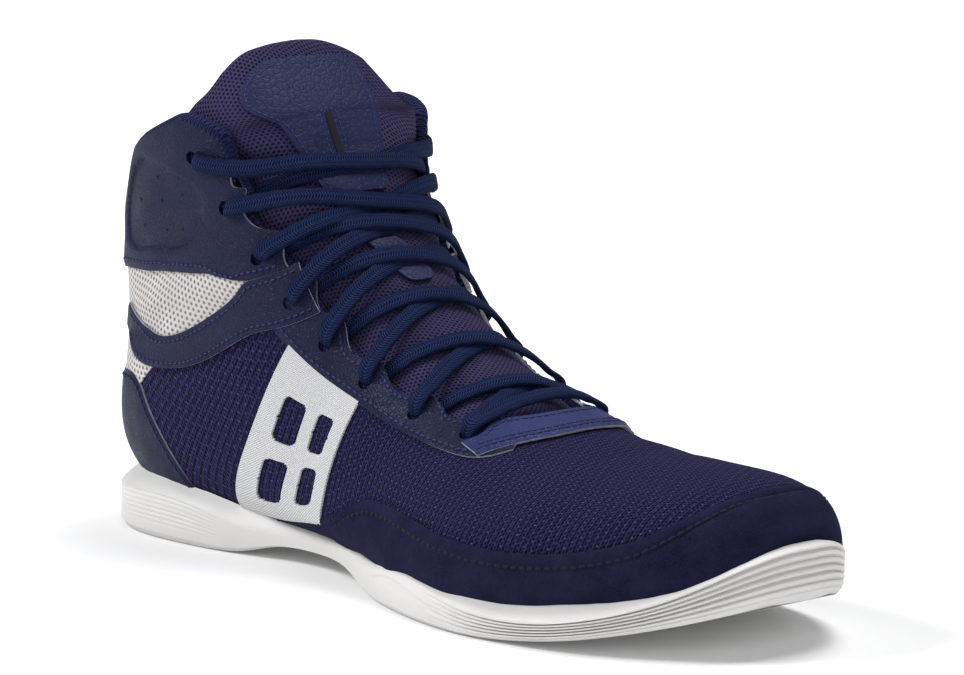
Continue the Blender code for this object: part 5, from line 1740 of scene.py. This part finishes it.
# The bottom lies between both edges, pulled in a little so that it meets the wall's rounded foot.
row = s * (len(outer_edge) - 1)
low_outer, low_inner = (sample(row, np.arange(len(edge)), edge) for edge in (outer_edge, inner_edge))
middle = (low_outer + low_inner) / 2
wide = np.abs(low_inner[:, 1] - low_outer[:, 1]) / 2
pulled = np.maximum(wide - ROUNDING, 0) / np.maximum(wide, 1e-6)
xy = middle + (low_inner - middle) * ((2 * t - 1) * pulled)[:, None]
xy[:, 0] = np.clip(xy[:, 0], ring[:, 0].min() + ROUNDING, ring[:, 0].max() - ROUNDING)
share_x = xy[:, 0] / SHOE_LENGTH + 0.5
inside = np.clip((0.5 - np.abs(t - 0.5)) * 12, 0, 1)
z = floor_height(share_x) * (1 - inside) + bottom_height(share_x) * inside
points = np.column_stack([xy, z])
place_points(bottom, points)
face_along(bottom, np.array([[0, 0, -1.0]]))
pattern_map(bottom, points.reshape(BOTTOM_ROWS + 1, BOTTOM_COLUMNS + 1, 3))
bottom.data.materials.append(rubber)
merge_close(bottom)
smooth(bottom, 30)
select_only(sole, bottom)
bpy.ops.object.join()
keep(sole, "white_rubber", "outsole")

# %% [markdown]
# ## Insole
# The insole lies in the shoe and shows only from above.

# %% Insole
INSOLE_U = (0.125, 0.160, 0.240, 0.600, 0.660, 0.684)
INSOLE_LIFT = -0.0062
INSOLE_REACH = (0.045, 0.120, 0.185, 0.175, 0.130, 0.050)


def insole_place(s, t):
    """s runs from the toe to the heel and t across, on both sides of the middle of the underside."""
    u = INSOLE_U[0] + (INSOLE_U[-1] - INSOLE_U[0]) * s
    reach = np.interp(u, INSOLE_U, INSOLE_REACH)
    return u, 1 - reach * (2 * t - 1), INSOLE_LIFT + 0 * u


insole = lasted("insole", 90, 24, insole_place, foam, foam)
give_wall(insole, 0.0034)
keep(insole, "insole_foam", "insole")

# %% [markdown]
# ## Sewing
# Every row that was noted since the rand becomes one mesh of dark ovals, painted shade of the dents round the
# stitches, and one of stitches, with a copy of one small stitch at each place. The pinholes in the pod, dark
# discs of painted shade too, are made the same way.

# %% Sew
# The dark ovals are painted shade of the dents round the stitches.
sew("stitch_shade", painted_shade, "grained_synthetic", longer=1.25, wider=2.1, lower=0.30, forget=False)
sew("stitches", thread, "grained_synthetic")

# %% Pinholes in the pod
# Each pinhole is a near-black disc on the cuff: painted shade where a hole would be.
PINS = ((0.912, -0.520), (0.866, -0.430), (0.880, -0.508), (0.902, -0.600), (0.872, -0.590), (0.845, -0.505),
        (0.826, -0.445))
PIN_SIZE = 0.0014
for side in (-1, 1):
    u, v = np.array(PINS).T
    centre = skin(u, side * -v, height_on(cuff, u, side * -v))
    out, across = frame_along(centre, out_of(u, side * -v))
    STITCHES.append((centre, np.cross(across, out) * PIN_SIZE, across * PIN_SIZE, out * 0.0004))
sew("pinholes", painted_shade, "grained_synthetic")
